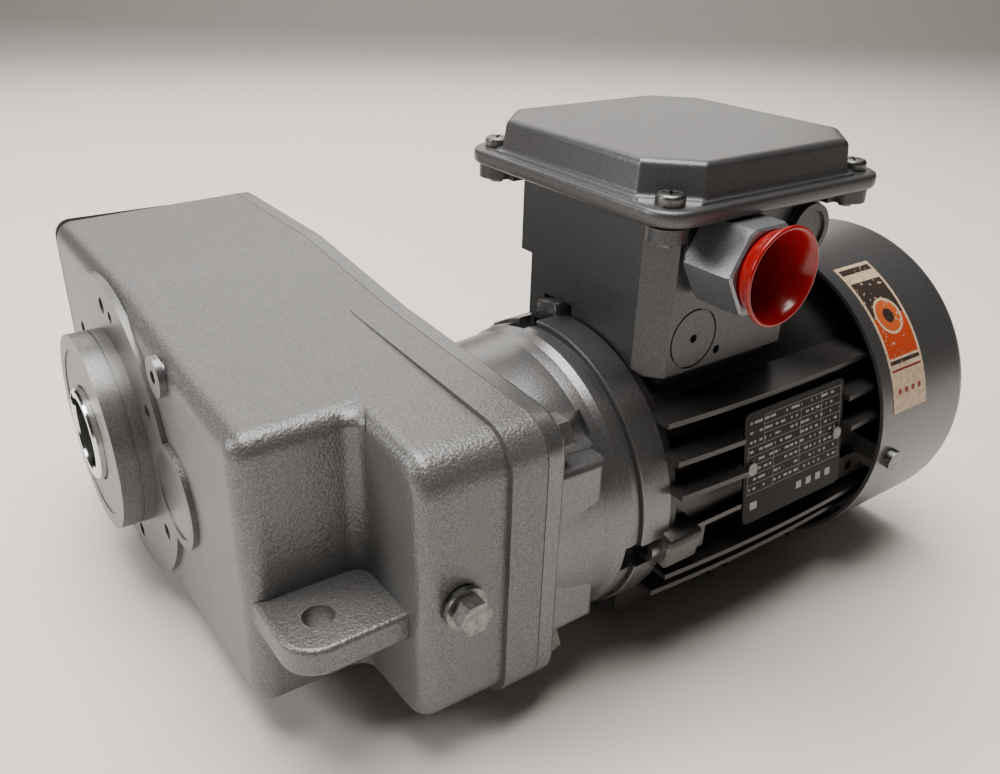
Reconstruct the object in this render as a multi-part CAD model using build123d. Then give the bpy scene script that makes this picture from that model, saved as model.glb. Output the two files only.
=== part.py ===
from build123d import *
import math
import os

os.makedirs("parts", exist_ok=True)

# Parallel shaft gear motor, lying with all its shafts along X.
# The origin is on the output bore's axis, in the plane of the machined output pad.
# X runs from the output side to the fan, Y from the motor to the output shaft, Z is up.

# Shaft lines
FIRST_CENTRES = 57.0          # motor shaft to intermediate shaft
SECOND_CENTRES = 66.0         # intermediate shaft to output shaft
INTER_Y = -SECOND_CENTRES
MOTOR_Y = INTER_Y - FIRST_CENTRES

# Gear case, a casting open towards the motor
FAR_Y = 91.5                  # end face beyond the output shaft, at the joint
NEAR_Y = -177.0               # end face beyond the motor shaft, at the joint
OUTPUT_HALF = 69.0            # half height over the output gear
WAIST_Y = -76.0
WAIST_HALF = 60.5
NEAR_HALF = 54.0
FAR_CORNER = 10.0
NEAR_CORNER = 15.0
STEP_CORNER = 10.0
BLEND_RADIUS = 60.0
END_STRIP_WIDTH = 7.0         # undrafted strip along the far end
END_STRIP_INSET = 0.8
END_STRIP_LENGTH = 52.0
CASE_FRONT_X = 2.0            # cast front face, behind the machined pad
JOINT_X = 90.0
DRAFT = 1.5
CASE_WALL = 8.0
ROOM_STEP = 0.3               # the space in front of the motor shaft is this much narrower
FRONT_WALL = 8.0
CASE_EDGE = 8.0               # rounding of the front edge
BAND_DEPTH = 14.0             # thicker band along the joint at the motor end
BAND_RISE = 1.6
BAND_START_Y = -70.0

# Step in the casting in front of the motor shaft, with the torque arm lug
STEP_X = 44.3
STEP_Y = -136.0
STEP_EDGE = 6.0               # rounding of the step's own front edge
STEP_FILLET = 6.0             # hollow rounding where the step meets the front part
LUG_TOP = -7.0
LUG_THICK = 11.0
LUG_FRONT_X = 4.0
LUG_NEAR_Y = -166.0
LUG_CORNER = 13.0
LUG_HOLE_X = 19.5
LUG_HOLE_Y = -150.0
LUG_HOLE_RADIUS = 5.5
LUG_EDGE = 2.0

# Machined output pad and boss
PAD_RADIUS = 66.0
BOSS_RADIUS = 42.5
BOSS_LENGTH = 13.3
BOSS_GROOVE_X = -6.0
BOSS_GROOVE_WIDTH = 1.2
BOSS_GROOVE_DEPTH = 0.8
PAD_HOLE_COUNT = 6
PAD_HOLE_CIRCLE = 55.0
PAD_HOLE_RADIUS = 3.4
PAD_HOLE_DEPTH = 12.0
PAD_HOLE_START = 30.0
PAD_HOLE_BOSS = 7.0
DOWEL_ANGLE = 102.0
DOWEL_RADIUS = 2.5
DOWEL_DEPTH = 6.0

# Cover with the motor bell
GASKET = 0.5
PLATE = 7.5
COVER_X = JOINT_X + GASKET
PLATE_BACK_X = COVER_X + PLATE
PLATE_EDGE = 2.0
REAR_PAD_RADIUS = 65.5
REAR_PAD_RISE = 2.0
REAR_BOSS_LENGTH = 18.5
NECK_RADIUS = 55.0
NECK_WALL = 9.0
NECK_LENGTH = 19.5
NECK_SIDE = 54.0              # flat near side of the neck, from the motor axis
NECK_EDGE = 3.0
RIDGE_RADIUS = 57.2
VALLEY = 1.0
BULGE_RADIUS = 59.0
BULGE_LENGTH = 10.0
FLANGE_GROOVE = 1.2
FLANGE_RADIUS = 60.5
FLANGE_X = 146.0
FLANGE_THICK = 13.0
BELL_WALL = 6.0
HUB_RADIUS = 23.0
HUB_END_X = 131.0
SPIGOT = 3.0

# Cover bolts, hexagon head
BOLT_RADIUS = 4.0
BOLT_HEAD_AF = 13.0
BOLT_HEAD = 5.5
BOLT_WASHER_RADIUS = 8.0
BOLT_WASHER = 1.2
BOLT_DEPTH = 16.0
BOLT_BOSS_RADIUS = 8.5
BOLT_BOSS_LENGTH = 22.0
BOLT_EDGE = 10.0              # bolt axis to the edge of the case, at the motor end
BOLT_INSET = 15.0             # bolt axis to the edge of the case, elsewhere
BOLT_ROWS = (76.0, 30.0, -44.0)
BOLT_POCKET_RADIUS = 9.2
BOLT_POCKET_LENGTH = 22.0

# Ball bearings: bore radius, outer radius, width, ball radius, number of balls
OUTPUT_BEARING = (20.0, 34.0, 15.0, 4.0, 9)
SMALL_BEARING = (7.5, 17.5, 11.0, 2.9, 7)
RUN = 0.05                    # running clearance on a radius

# Output shaft, hollow
BORE_RADIUS = 15.0
OUTPUT_SHAFT_START = -16.0
OUTPUT_SHAFT_END = 119.0
BORE_CHAMFER = 1.0
KEYWAY_WIDTH = 8.0
KEYWAY_DEPTH = 3.3
KEYWAY_ANGLE = 45.0
SEAL_OUTER = 36.0
SEAL_WIDTH = 7.0
SHOULDER = 1.5
GEAR_SEAT_RADIUS = 22.5
COLLAR_RADIUS = 26.0
COLLAR = 4.0
SLEEVE_WALL = 2.4
GEAR_KEY_WIDTH = 10.0
GEAR_KEY_HEIGHT = 6.0

# Gears
PRESSURE_ANGLE = 20.0
FIRST_MODULE = 1.5
FIRST_PINION_TEETH = 22
FIRST_GEAR_TEETH = 54
SECOND_MODULE = 2.0
SECOND_PINION_TEETH = 13
SECOND_GEAR_TEETH = 53
PINION_SHIFT = 0.25
BACKLASH = 0.20
TIP_CUT = 0.25
OUTPUT_GEAR_X = 24.0
OUTPUT_GEAR_WIDTH = 24.0
INTER_GEAR_X = 61.0
INTER_GEAR_WIDTH = 18.0
PINION_OVERHANG = 2.0
GEAR_WEB = 9.0
GEAR_RIM = 7.0

# Intermediate shaft
INTER_CAP = 5.0
INTER_CAP_DEPTH = 0.6
CAP_BOSS_RADIUS = 21.5
INTER_HUB_RADIUS = 23.0
INTER_SEAT_RADIUS = 12.0
INTER_BODY_RADIUS = 10.0
INTER_COLLAR_RADIUS = 15.0
INTER_REAR_X = COVER_X + 0.5
INTER_KEY = 6.0

# Motor shaft and motor
MOTOR_SEAL_OUTER = 15.0
MOTOR_SEAL_X = 105.0
DRIVE_BEARING_X = 120.0
MOTOR_BODY_RADIUS = 11.0
CORE_START = 180.0
CORE_END = 245.0
FRAME_BORE = 50.0
ROTOR_RADIUS = 30.0
AIR_GAP = 0.3
WINDING_OUTER = 47.0
WINDING_INNER = 32.0
WINDING_LENGTH = 16.0
FRAME_WALL_RADIUS = 55.5
FRAME_RING = 4.0
FRAME_RING_RADIUS = 59.5
FRAME_END_X = 277.0
FIN_THICK = 2.2
FIN_FRONT_REACH = 66.5
FIN_REACH = 68.8
SIDE_FINS = (38.4, 25.9, 13.6, -24.0, -36.0)
LOWER_FINS = (12.0, 24.0, 36.0)
FOOT_FACE = 59.2              # foot pad face to the motor axis
FOOT_TOP = -8.0
FOOT_HEIGHT = 11.5
FOOT_LENGTH = 21.5
REAR_FOOT_X = 250.0
FOOT_HOLE_RADIUS = 2.5
FOOT_HOLE_DEPTH = 8.0
SCREW_CIRCLE = 58.0
SCREW_ANGLES = (77.0, 190.0, 314.0)
TIE_SCREW_RADIUS = 3.0
TIE_HEAD_RADIUS = 4.6
TIE_HEAD = 5.0
TIE_SOCKET_AF = 4.0
TIE_SOCKET_DEPTH = 3.0
TIE_EAR = 3.5
TIE_EAR_WALL = 2.4
TIE_POCKET_CLEARANCE = 1.2
TIE_POCKET_LENGTH = 16.0
LUG_BLOCK_LENGTH = 13.0
LUG_BLOCK_HALF = 6.7
LUG_BLOCK_REACH = 64.0
TIE_DEPTH = 10.0

# Terminal box on top of the motor
BOX_X = 188.3
BOX_HALF_X = 44.0
BOX_HALF_Y = 43.0
FOOT_HALF_X = 41.0
FOOT_HALF_Y = 40.0
BOX_CHAMFER = 9.0
BOX_SKIRT_Z = 49.0            # lower edge of the skirt around the motor's seat
BOX_SEAT_Z = 57.0
BOX_STEP_Z = 80.0
BOX_RIM_Z = 112.0
BOX_WALL = 4.0
BOX_FLOOR = 4.0
BOX_GASKET = 1.0
SEAT_CLEARANCE = 0.5
POCKET_CLEARANCE = 0.4
POCKET_WALL = 2.5
BOX_SCREW_X = 28.0
BOX_SCREW_Y = 30.7
BOX_SCREW_HEAD = 4.2
LEAD_HOLE = 9.0
LEAD_X = BOX_X - 15.3
BOARD_X = BOX_X + 16.0
BOARD_HALF_X = 20.0
BOARD_HALF_Y = 15.0
BOARD_HEIGHT = 8.0
TERMINAL_PITCH = 12.0
TERMINAL_ROW = 8.0            # from the board's middle to each row of studs
STUD_RADIUS = 2.0
STUD_LENGTH = 21.0
STUD_NUT_AF = 7.0
STUD_NUT = 3.0
LINK_WIDTH = 8.0
LINK_THICK = 2.0
KNOCKOUT_X = BOX_X - 19.0     # round closed entry cast in the foot's near face
KNOCKOUT_Z = 62.0
KNOCKOUT_RADIUS = 12.0
KNOCKOUT_GROOVE = 0.8
LID_HALF = 57.5
LID_CORNER = 12.0
LID_FLANGE = 6.5
LID_TOP_Z = 131.6
LID_DOME_HALF = 54.0
LID_DOME_CORNER = 22.5
LID_DRAFT = 5.0
LID_WALL = 3.0
LID_EDGE = 2.5
LID_SCREW_PITCH = 47.5
LID_SCREW_RADIUS = 2.5
LID_HEAD_RADIUS = 5.0
LID_HEAD = 4.0
EAR_RADIUS = 7.0
EAR_HEIGHT = 5.0
EAR_WEB = 11.0                # reach of an ear's web towards the box's wall
LID_SCREW_DEPTH = 8.0

# Cable entries on the box's near face
ENTRY_X = BOX_X - 19.3
ENTRY_Z = 97.0
ENTRY_RADIUS = 11.0
ENTRY_COLLAR = 3.4
ENTRY_RISE = 1.2
SPARE_ENTRY_RADIUS = 8.0
SPARE_ENTRY_X = BOX_X + 30.7
ADAPTOR_AF = 30.0
ADAPTOR_LENGTH = 21.3
ADAPTOR_BORE = 9.5
PLUG_REACH = 8.0
PLUG_RIM_RADIUS = 19.5
PLUG_WALL = 1.6
PLUG_STEM = 12.0
SEAL_RING = 1.5
BLANK_HEAD_RADIUS = 10.5
BLANK_HEAD = 2.5

# Fan end
SHIELD_RADIUS = 61.0
SHIELD_THICK = 8.0
SHIELD_HUB_RADIUS = 22.0
REAR_BEARING_SET = 9.0        # start of the rear bearing, in from the frame's end
SHIELD_SCREW_HEAD = 4.0
SPRING = 1.5
SHAFT_GAP = 1.5
FAN_GAP = 8.0
FAN_WIDTH = 20.0
FAN_TIP_GAP = 10.9
FAN_HUB_RADIUS = 15.0
FAN_BLADES = 8
FAN_BLADE = 2.0
FAN_DISC = 2.0
CLIP_THICK = 1.0
COVER_RADIUS = 72.5
COVER_OVERLAP = 17.7          # fan cover over the end of the frame
COVER_END_GAP = 8.7
COVER_SHEET = 1.6
COVER_ROUND = 7.0
COVER_SCREW_RADIUS = 2.5
COVER_SCREW_HEAD = 4.5
COVER_SCREW_SET = 10.1        # screw axis behind the cover's front edge
COVER_SCREW_ANGLES = (65.0, 185.0, 305.0)
COVER_SCREW_HEAD_HEIGHT = 3.0
COVER_SCREW_LENGTH = 9.0
COVER_EAR_HALF = 6.0
COVER_EAR_GAP = 0.4
GRILLE_ROWS = (24.0, 36.0, 48.0)
GRILLE_SLOTS = 12
GRILLE_WIDTH = 5.0
GRILLE_RIB = 5.0

# Nameplate
PLATE_X = 211.5
PLATE_LENGTH = 60.5
PLATE_HEIGHT = 47.0
PLATE_THICK = 0.8
PLATE_Z = 12.0
PLATE_Y = -186.4
PLATE_TILT = 9.0
RIVET_PITCH = 52.0
RIVET_RADIUS = 1.6
RIVET_HEAD = 2.6
RIVET_POST = 4.0
POST_LENGTH = 9.0
RIVET_HOLE = 14.0
RIVET_LENGTH = 7.0
PLATE_ROOM = 1.5              # free space round the plate, cut from the fins

# Plugs in the gear case
SIDE_PLUG_X = 58.7
SIDE_PLUG_Z = -2.0
SIDE_PLUG_THREAD = 5.0
SIDE_PLUG_FLANGE = 7.8
SIDE_PLUG_HEX = 11.0
SPOT_RADIUS = 8.1
SPOT_DEPTH = 0.3
FRONT_PLUG_Y = -67.0
FRONT_PLUG_Z = 51.0
FRONT_PLUG_THREAD = 5.0
FRONT_PLUG_FLANGE = 7.8
FRONT_PLUG_THICK = 2.6

# Places along X that follow from the sizes above
FRONT_SEAL_X = -BOSS_LENGTH + 0.5
FRONT_BEARING_X = FRONT_SEAL_X + SEAL_WIDTH + SHOULDER
REAR_BEARING_OUT_X = COVER_X + 2.0
REAR_SEAL_X = REAR_BEARING_OUT_X + OUTPUT_BEARING[2] + SHOULDER
INTER_BEARING_X = INTER_CAP_DEPTH + INTER_CAP + 0.4
REAR_BEARING_X = FRAME_END_X - REAR_BEARING_SET
SHIELD_BACK_X = FRAME_END_X + SHIELD_THICK
FAN_X = SHIELD_BACK_X + FAN_GAP
FAN_RADIUS = COVER_RADIUS - COVER_SHEET - FAN_TIP_GAP
MOTOR_SHAFT_END = FAN_X + FAN_WIDTH + CLIP_THICK
COVER_FRONT_X = FRAME_END_X - COVER_OVERLAP
COVER_END_X = MOTOR_SHAFT_END + COVER_SHEET + COVER_END_GAP
COVER_SCREW_X = COVER_FRONT_X + COVER_SCREW_SET

# Places along Y of the cable entry
BOX_NEAR_Y = MOTOR_Y - BOX_HALF_Y
ENTRY_WALL = BOX_HALF_Y - FOOT_HALF_Y + BOX_WALL
ADAPTOR_START_Y = BOX_NEAR_Y - ENTRY_RISE - SEAL_RING
ADAPTOR_END_Y = ADAPTOR_START_Y - ADAPTOR_LENGTH
PLUG_END_Y = ADAPTOR_END_Y - PLUG_REACH


def facing_x(x, y=0.0, z=0.0):
    """Drawing plane across X, with its own x along Y and its own y along Z."""
    return Plane(origin=(x, y, z), x_dir=(0, 1, 0), z_dir=(1, 0, 0))


def rod(x0, x1, radius, y=0.0, z=0.0):
    return extrude(facing_x(x0, y, z) * Circle(radius), x1 - x0)


def tube(x0, x1, outer, inner, y=0.0, z=0.0):
    return extrude(facing_x(x0, y, z) * (Circle(outer) - Circle(inner)), x1 - x0)


def block(x0, x1, y0, y1, z0, z1):
    centre = Pos((x0 + x1) / 2, (y0 + y1) / 2, (z0 + z1) / 2)
    return centre * Box(x1 - x0, y1 - y0, z1 - z0)


def turned(points, y=0.0, z=0.0):
    """Body of revolution about an axis along X; each point is (x, radius)."""
    profile = Plane.XY * make_face(Polyline(*points, close=True))
    return Pos(0, y, z) * revolve(profile, Axis.X)


def polar(radius, degrees):
    angle = math.radians(degrees)
    return radius * math.cos(angle), radius * math.sin(angle)


def hexagon(across_flats):
    return RegularPolygon(across_flats / 2, 6, major_radius=False)


def save(name, shape):
    shape.label = name
    export_step(shape, "parts/" + name + ".step")


# Gear teeth

def involute(angle):
    return math.tan(angle) - angle


def gear_outline(teeth, module, first_angle, shift=0.0):
    """Toothed outline with involute flanks, a tooth's middle at first_angle in degrees."""
    pressure = math.radians(PRESSURE_ANGLE)
    pitch_radius = teeth * module / 2
    base_radius = pitch_radius * math.cos(pressure)
    tip_radius = pitch_radius + module * (1 + shift) - TIP_CUT
    root_radius = pitch_radius - module * (1.25 - shift)
    thickness = math.pi * module / 2 + 2 * shift * module * math.tan(pressure) - BACKLASH / 2
    half_angle = thickness / 2 / pitch_radius
    low = max(base_radius, root_radius)
    flank = [low + (tip_radius - low) * step / 3 for step in range(4)]
    sides = []
    for radius in flank:
        local = math.acos(min(1.0, base_radius / radius))
        sides.append((radius, half_angle + involute(pressure) - involute(local)))
    if root_radius < low:
        sides.insert(0, (root_radius, sides[0][1]))
    points = []
    for tooth in range(teeth):
        middle = math.radians(first_angle) + 2 * math.pi * tooth / teeth
        left = [(radius, middle - angle) for radius, angle in sides]
        right = [(radius, middle + angle) for radius, angle in reversed(sides)]
        for radius, angle in left + right:
            points.append((radius * math.cos(angle), radius * math.sin(angle)))
    return make_face(Polyline(*points, close=True))


def toothed_wheel(teeth, module, x0, width, y, bore, first_angle, shift=0.0):
    outline = gear_outline(teeth, module, first_angle, shift) - Circle(bore)
    return extrude(facing_x(x0, y) * outline, width)


# Gear case

def half_height(y):
    """Half height of the case at a place along Y, at the joint."""
    if y > 0:
        return OUTPUT_HALF
    if y > WAIST_Y:
        return OUTPUT_HALF + (WAIST_HALF - OUTPUT_HALF) * y / WAIST_Y
    share = (y - WAIST_Y) / (NEAR_Y - WAIST_Y)
    return WAIST_HALF + (NEAR_HALF - WAIST_HALF) * share


def case_outline(near_y, rise=0.0, inset=0.0, corner=NEAR_CORNER):
    """Outline of the case at the joint, in its own Y and Z, ending at near_y."""
    end_y = near_y - rise
    upper = [
        (FAR_Y, OUTPUT_HALF),
        (0, OUTPUT_HALF),
        (WAIST_Y, WAIST_HALF),
        (end_y, half_height(near_y) + rise),
    ]
    lower = [(y, -z) for y, z in reversed(upper)]
    face = make_face(Polyline(*(upper + lower), close=True))
    for y, radius in ((FAR_Y, FAR_CORNER), (end_y, corner), (0, BLEND_RADIUS), (WAIST_Y, BLEND_RADIUS)):
        face = fillet([v for v in face.vertices() if abs(v.X - y) < 0.01], radius)
    if inset > 0:
        face = offset(face, -inset, kind=Kind.INTERSECTION)
    return face


def drafted_slab(front_x, outline):
    """Solid from the joint to front_x, its sides leaning in by the casting draft."""
    return extrude(facing_x(JOINT_X) * outline, front_x - JOINT_X, taper=DRAFT)


def edges_before(body, x):
    return [e for e in body.edges() if e.bounding_box().max.X < x + 0.05]


def bolt_places():
    """Cover bolt axes (y, z), in pairs above and below, the motor end's pair last."""
    upper = [(y, half_height(y) - BOLT_INSET) for y in BOLT_ROWS]
    upper.append((NEAR_Y + BOLT_EDGE, NEAR_HALF - BOLT_EDGE))
    places = []
    for y, z in upper:
        places += [(y, z), (y, -z)]
    return places


def end_strip():
    """Strip at the far end left straight where the drafted walls lean in behind it."""
    outline = case_outline(STEP_Y, 0, END_STRIP_INSET, STEP_CORNER)
    straight = extrude(facing_x(CASE_FRONT_X) * outline, END_STRIP_LENGTH)
    straight = fillet(edges_before(straight, CASE_FRONT_X), CASE_EDGE - END_STRIP_INSET)
    return straight & block(0, JOINT_X, FAR_Y - END_STRIP_WIDTH, FAR_Y + 5, -OUTPUT_HALF, OUTPUT_HALF)


def step_fillet():
    """Hollow rounding in the upright corner between the front part and the step."""
    corner_y = STEP_Y + (JOINT_X - STEP_X) * math.tan(math.radians(DRAFT))
    half = half_height(STEP_Y) - STEP_EDGE
    strip = block(
        STEP_X - STEP_FILLET, STEP_X + 2, corner_y - STEP_FILLET, corner_y + 2, -half, half
    )
    hollow = Pos(STEP_X - STEP_FILLET, corner_y - STEP_FILLET, 0) * Cylinder(STEP_FILLET, 3 * half)
    return strip - hollow


def case_shell():
    """Outside of the casting: the long front part and the step in front of the motor shaft."""
    rear = drafted_slab(STEP_X, case_outline(NEAR_Y))
    rear = fillet(edges_before(rear, STEP_X), STEP_EDGE)
    front = drafted_slab(CASE_FRONT_X, case_outline(STEP_Y, corner=STEP_CORNER))
    front = fillet(edges_before(front, CASE_FRONT_X), CASE_EDGE)
    body = rear + front + step_fillet()
    band = extrude(facing_x(JOINT_X) * case_outline(NEAR_Y, BAND_RISE), -BAND_DEPTH)
    band &= block(0, JOINT_X, NEAR_Y - 10, BAND_START_Y, -OUTPUT_HALF, OUTPUT_HALF)
    return body + band + end_strip()


def torque_arm_lug():
    corners = [
        (LUG_FRONT_X, STEP_Y + CASE_EDGE),
        (LUG_FRONT_X, LUG_NEAR_Y),
        (STEP_X + STEP_EDGE, LUG_NEAR_Y),
        (STEP_X + STEP_EDGE, STEP_Y + CASE_EDGE),
    ]
    outline = make_face(Polyline(*corners, close=True))
    tip = [v for v in outline.vertices() if v.X < LUG_FRONT_X + 1 and v.Y < STEP_Y]
    outline = fillet(tip, LUG_CORNER)
    plate = extrude(Pos(0, 0, LUG_TOP - LUG_THICK) * outline, LUG_THICK)
    rim = [
        e for e in plate.edges()
        if e.bounding_box().size.Z < 0.01 and e.center().Y < STEP_Y and e.center().X < STEP_X
    ]
    return fillet(rim, LUG_EDGE)


def lug_hole():
    return Pos(LUG_HOLE_X, LUG_HOLE_Y, LUG_TOP - LUG_THICK / 2) * Cylinder(LUG_HOLE_RADIUS, LUG_THICK * 3)


def case_cavity():
    """Oil space, following the outside one wall thickness in."""
    front = drafted_slab(CASE_FRONT_X + FRONT_WALL, case_outline(STEP_Y, 0, CASE_WALL, STEP_CORNER))
    rear = drafted_slab(STEP_X + CASE_WALL, case_outline(NEAR_Y, 0, CASE_WALL + ROOM_STEP))
    return front + rear


def output_boss():
    """Round boss around the output shaft, with the groove turned near its root."""
    boss = rod(-BOSS_LENGTH, CASE_FRONT_X + FRONT_WALL, BOSS_RADIUS)
    groove = tube(
        BOSS_GROOVE_X, BOSS_GROOVE_X + BOSS_GROOVE_WIDTH, BOSS_RADIUS + 1, BOSS_RADIUS - BOSS_GROOVE_DEPTH
    )
    return boss - groove


def pad_holes():
    holes = []
    for number in range(PAD_HOLE_COUNT):
        y, z = polar(PAD_HOLE_CIRCLE, PAD_HOLE_START + number * 360 / PAD_HOLE_COUNT)
        holes.append(rod(-1, PAD_HOLE_DEPTH, PAD_HOLE_RADIUS, y, z))
    y, z = polar(PAD_HOLE_CIRCLE, DOWEL_ANGLE)
    holes.append(rod(-1, DOWEL_DEPTH, DOWEL_RADIUS, y, z))
    return holes


def pad_hole_bosses():
    """Pads inside the front wall that give the tapped holes their depth."""
    bosses = []
    for number in range(PAD_HOLE_COUNT):
        y, z = polar(PAD_HOLE_CIRCLE, PAD_HOLE_START + number * 360 / PAD_HOLE_COUNT)
        bosses.append(rod(CASE_FRONT_X + 1, PAD_HOLE_DEPTH + 2, PAD_HOLE_BOSS, y, z))
    return bosses


def plug_hole_side():
    seat = side_plug_plane(side_plug_seat_y())
    spot = extrude(seat * Circle(SPOT_RADIUS), 3)
    return spot + extrude(seat * Circle(SIDE_PLUG_THREAD), -CASE_WALL - 4)


def gear_case():
    outside = case_shell()
    hollow = case_cavity()
    for y, z in bolt_places():
        hollow -= rod(JOINT_X - BOLT_BOSS_LENGTH, JOINT_X + 1, BOLT_BOSS_RADIUS, y, z)
    body = outside - hollow
    body += rod(0, CASE_FRONT_X + 1, PAD_RADIUS)
    body += rod(0, CASE_FRONT_X + 1, CAP_BOSS_RADIUS, INTER_Y)
    body += rod(CASE_FRONT_X + 1, INTER_BEARING_X + SMALL_BEARING[2], INTER_HUB_RADIUS, INTER_Y)
    for boss in pad_hole_bosses():
        body += boss
    body += output_boss()
    body += torque_arm_lug()
    body -= rod(-BOSS_LENGTH - 1, FRONT_SEAL_X + SEAL_WIDTH, SEAL_OUTER)
    body -= rod(FRONT_SEAL_X, FRONT_BEARING_X + 1, OUTPUT_BEARING[1] - SHOULDER)
    body -= rod(FRONT_BEARING_X, FRONT_BEARING_X + 40, OUTPUT_BEARING[1])
    body -= rod(-1, INTER_BEARING_X + 30, SMALL_BEARING[1], INTER_Y)
    body -= lug_hole()
    body -= plug_hole_side()
    body -= rod(CASE_FRONT_X - 4, CASE_FRONT_X + FRONT_WALL + 8, FRONT_PLUG_THREAD, FRONT_PLUG_Y, FRONT_PLUG_Z)
    for hole in pad_holes():
        body -= hole
    for y, z in bolt_places():
        body -= rod(JOINT_X - BOLT_DEPTH - 2, JOINT_X + 1, BOLT_RADIUS, y, z)
    return body


def case_gasket():
    ring = case_outline(NEAR_Y, BAND_RISE) - case_outline(NEAR_Y, 0, CASE_WALL)
    ring = extrude(facing_x(JOINT_X) * ring, GASKET)
    for y, z in bolt_places():
        ring += rod(JOINT_X, COVER_X, BOLT_BOSS_RADIUS, y, z)
        ring -= rod(JOINT_X - 1, COVER_X + 1, BOLT_RADIUS, y, z)
    return ring


# Cover with the motor bell

def neck_side():
    """Flat near side of the neck, with a shelf under the bolt at either corner."""
    half = NEAR_HALF - BOLT_EDGE - BOLT_POCKET_RADIUS - 0.3
    side = block(
        PLATE_BACK_X - 1, PLATE_BACK_X + NECK_LENGTH, MOTOR_Y - NECK_SIDE, MOTOR_Y, -half, half
    )
    outer = [
        e for e in side.edges()
        if e.center().Y < MOTOR_Y - NECK_SIDE + 0.01 and e.center().X > PLATE_BACK_X
    ]
    return fillet(outer, NECK_EDGE)


def bell():
    """Turned outside of the bell, from the plate to the motor flange."""
    ridge = PLATE_BACK_X + NECK_LENGTH
    ring = FLANGE_X - FLANGE_THICK
    outside = [
        (COVER_X + 1, 0),
        (COVER_X + 1, NECK_RADIUS),
        (ridge, RIDGE_RADIUS),
        (ridge + VALLEY, RIDGE_RADIUS - VALLEY),
        (ring - BULGE_LENGTH, RIDGE_RADIUS),
        (ring - BULGE_LENGTH * 0.7, BULGE_RADIUS - VALLEY / 4),
        (ring - BULGE_LENGTH * 0.4, BULGE_RADIUS),
        (ring - FLANGE_GROOVE, BULGE_RADIUS - VALLEY / 4),
        (ring - FLANGE_GROOVE, BULGE_RADIUS - FLANGE_GROOVE),
        (ring, BULGE_RADIUS - FLANGE_GROOVE),
        (ring, FLANGE_RADIUS - VALLEY / 2),
        (ring + VALLEY / 2, FLANGE_RADIUS),
        (FLANGE_X, FLANGE_RADIUS),
        (FLANGE_X, FRAME_BORE),
        (FLANGE_X + SPIGOT, FRAME_BORE),
        (FLANGE_X + SPIGOT, 0),
    ]
    return turned(outside, MOTOR_Y)


def bell_cavity():
    """Air space inside the bell, around the bearing hub and open to the motor."""
    inner = NECK_RADIUS - NECK_WALL
    wide = FRAME_BORE - 3
    points = [
        (PLATE_BACK_X + BELL_WALL, HUB_RADIUS),
        (PLATE_BACK_X + BELL_WALL, inner),
        (PLATE_BACK_X + NECK_LENGTH, inner),
        (FLANGE_X - FLANGE_THICK, wide),
        (FLANGE_X + SPIGOT + 1, wide),
        (FLANGE_X + SPIGOT + 1, 0),
        (HUB_END_X, 0),
        (HUB_END_X, HUB_RADIUS),
    ]
    return turned(points, MOTOR_Y)


def tie_ears(x0, length, radius):
    return [rod(x0, x0 + length, radius, MOTOR_Y + y, z) for y, z in tie_places()]


def tie_places():
    return [polar(SCREW_CIRCLE, angle) for angle in SCREW_ANGLES]


def gear_cover():
    plate = extrude(facing_x(COVER_X) * case_outline(NEAR_Y, BAND_RISE), PLATE)
    back = [e for e in plate.edges() if e.bounding_box().min.X > PLATE_BACK_X - 0.01]
    plate = fillet(back, PLATE_EDGE)
    body = plate + rod(COVER_X + 1, PLATE_BACK_X + REAR_PAD_RISE, REAR_PAD_RADIUS)
    body += rod(COVER_X, PLATE_BACK_X + REAR_BOSS_LENGTH, BOSS_RADIUS)
    body += rod(COVER_X, INTER_REAR_X + SMALL_BEARING[2] + BELL_WALL, INTER_HUB_RADIUS, INTER_Y)
    body += neck_side()
    body += bell()
    for ear in tie_ears(FLANGE_X - TIE_EAR, TIE_EAR, TIE_HEAD_RADIUS + TIE_EAR_WALL):
        body += ear
    pocket_x = FLANGE_X - TIE_EAR - TIE_POCKET_LENGTH
    for pocket in tie_ears(pocket_x, TIE_POCKET_LENGTH, TIE_HEAD_RADIUS + TIE_POCKET_CLEARANCE):
        body -= pocket
    body -= bell_cavity()
    body -= rod(COVER_X - 1, REAR_BEARING_OUT_X + OUTPUT_BEARING[2], OUTPUT_BEARING[1])
    body -= rod(COVER_X, REAR_SEAL_X + 1, OUTPUT_BEARING[1] - SHOULDER)
    body -= rod(REAR_SEAL_X, REAR_SEAL_X + 40, SEAL_OUTER)
    body -= rod(COVER_X - 1, INTER_REAR_X + SMALL_BEARING[2], SMALL_BEARING[1], INTER_Y)
    body -= rod(COVER_X - 1, HUB_END_X, MOTOR_SEAL_OUTER - 3, MOTOR_Y)
    body -= rod(MOTOR_SEAL_X, HUB_END_X + 1, MOTOR_SEAL_OUTER, MOTOR_Y)
    body -= rod(DRIVE_BEARING_X, HUB_END_X + 1, SMALL_BEARING[1], MOTOR_Y)
    for y, z in bolt_places():
        body -= rod(COVER_X - 1, PLATE_BACK_X + 1, BOLT_RADIUS, y, z)
        body -= rod(PLATE_BACK_X, PLATE_BACK_X + BOLT_POCKET_LENGTH, BOLT_POCKET_RADIUS, y, z)
    for hole in tie_ears(FLANGE_X - TIE_EAR - 1, TIE_EAR + 2, TIE_SCREW_RADIUS):
        body -= hole
    return body


def cover_bolts():
    """Hexagon bolts with washers, from the cover's back into the case."""
    bolts = []
    for y, z in bolt_places():
        bolt = rod(JOINT_X - BOLT_DEPTH, PLATE_BACK_X + BOLT_WASHER, BOLT_RADIUS, y, z)
        bolt += rod(PLATE_BACK_X, PLATE_BACK_X + BOLT_WASHER, BOLT_WASHER_RADIUS, y, z)
        head = extrude(facing_x(PLATE_BACK_X + BOLT_WASHER, y, z) * hexagon(BOLT_HEAD_AF), BOLT_HEAD)
        bolts.append(bolt + head)
    return Compound(children=bolts)


# Bearings and seals

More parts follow.
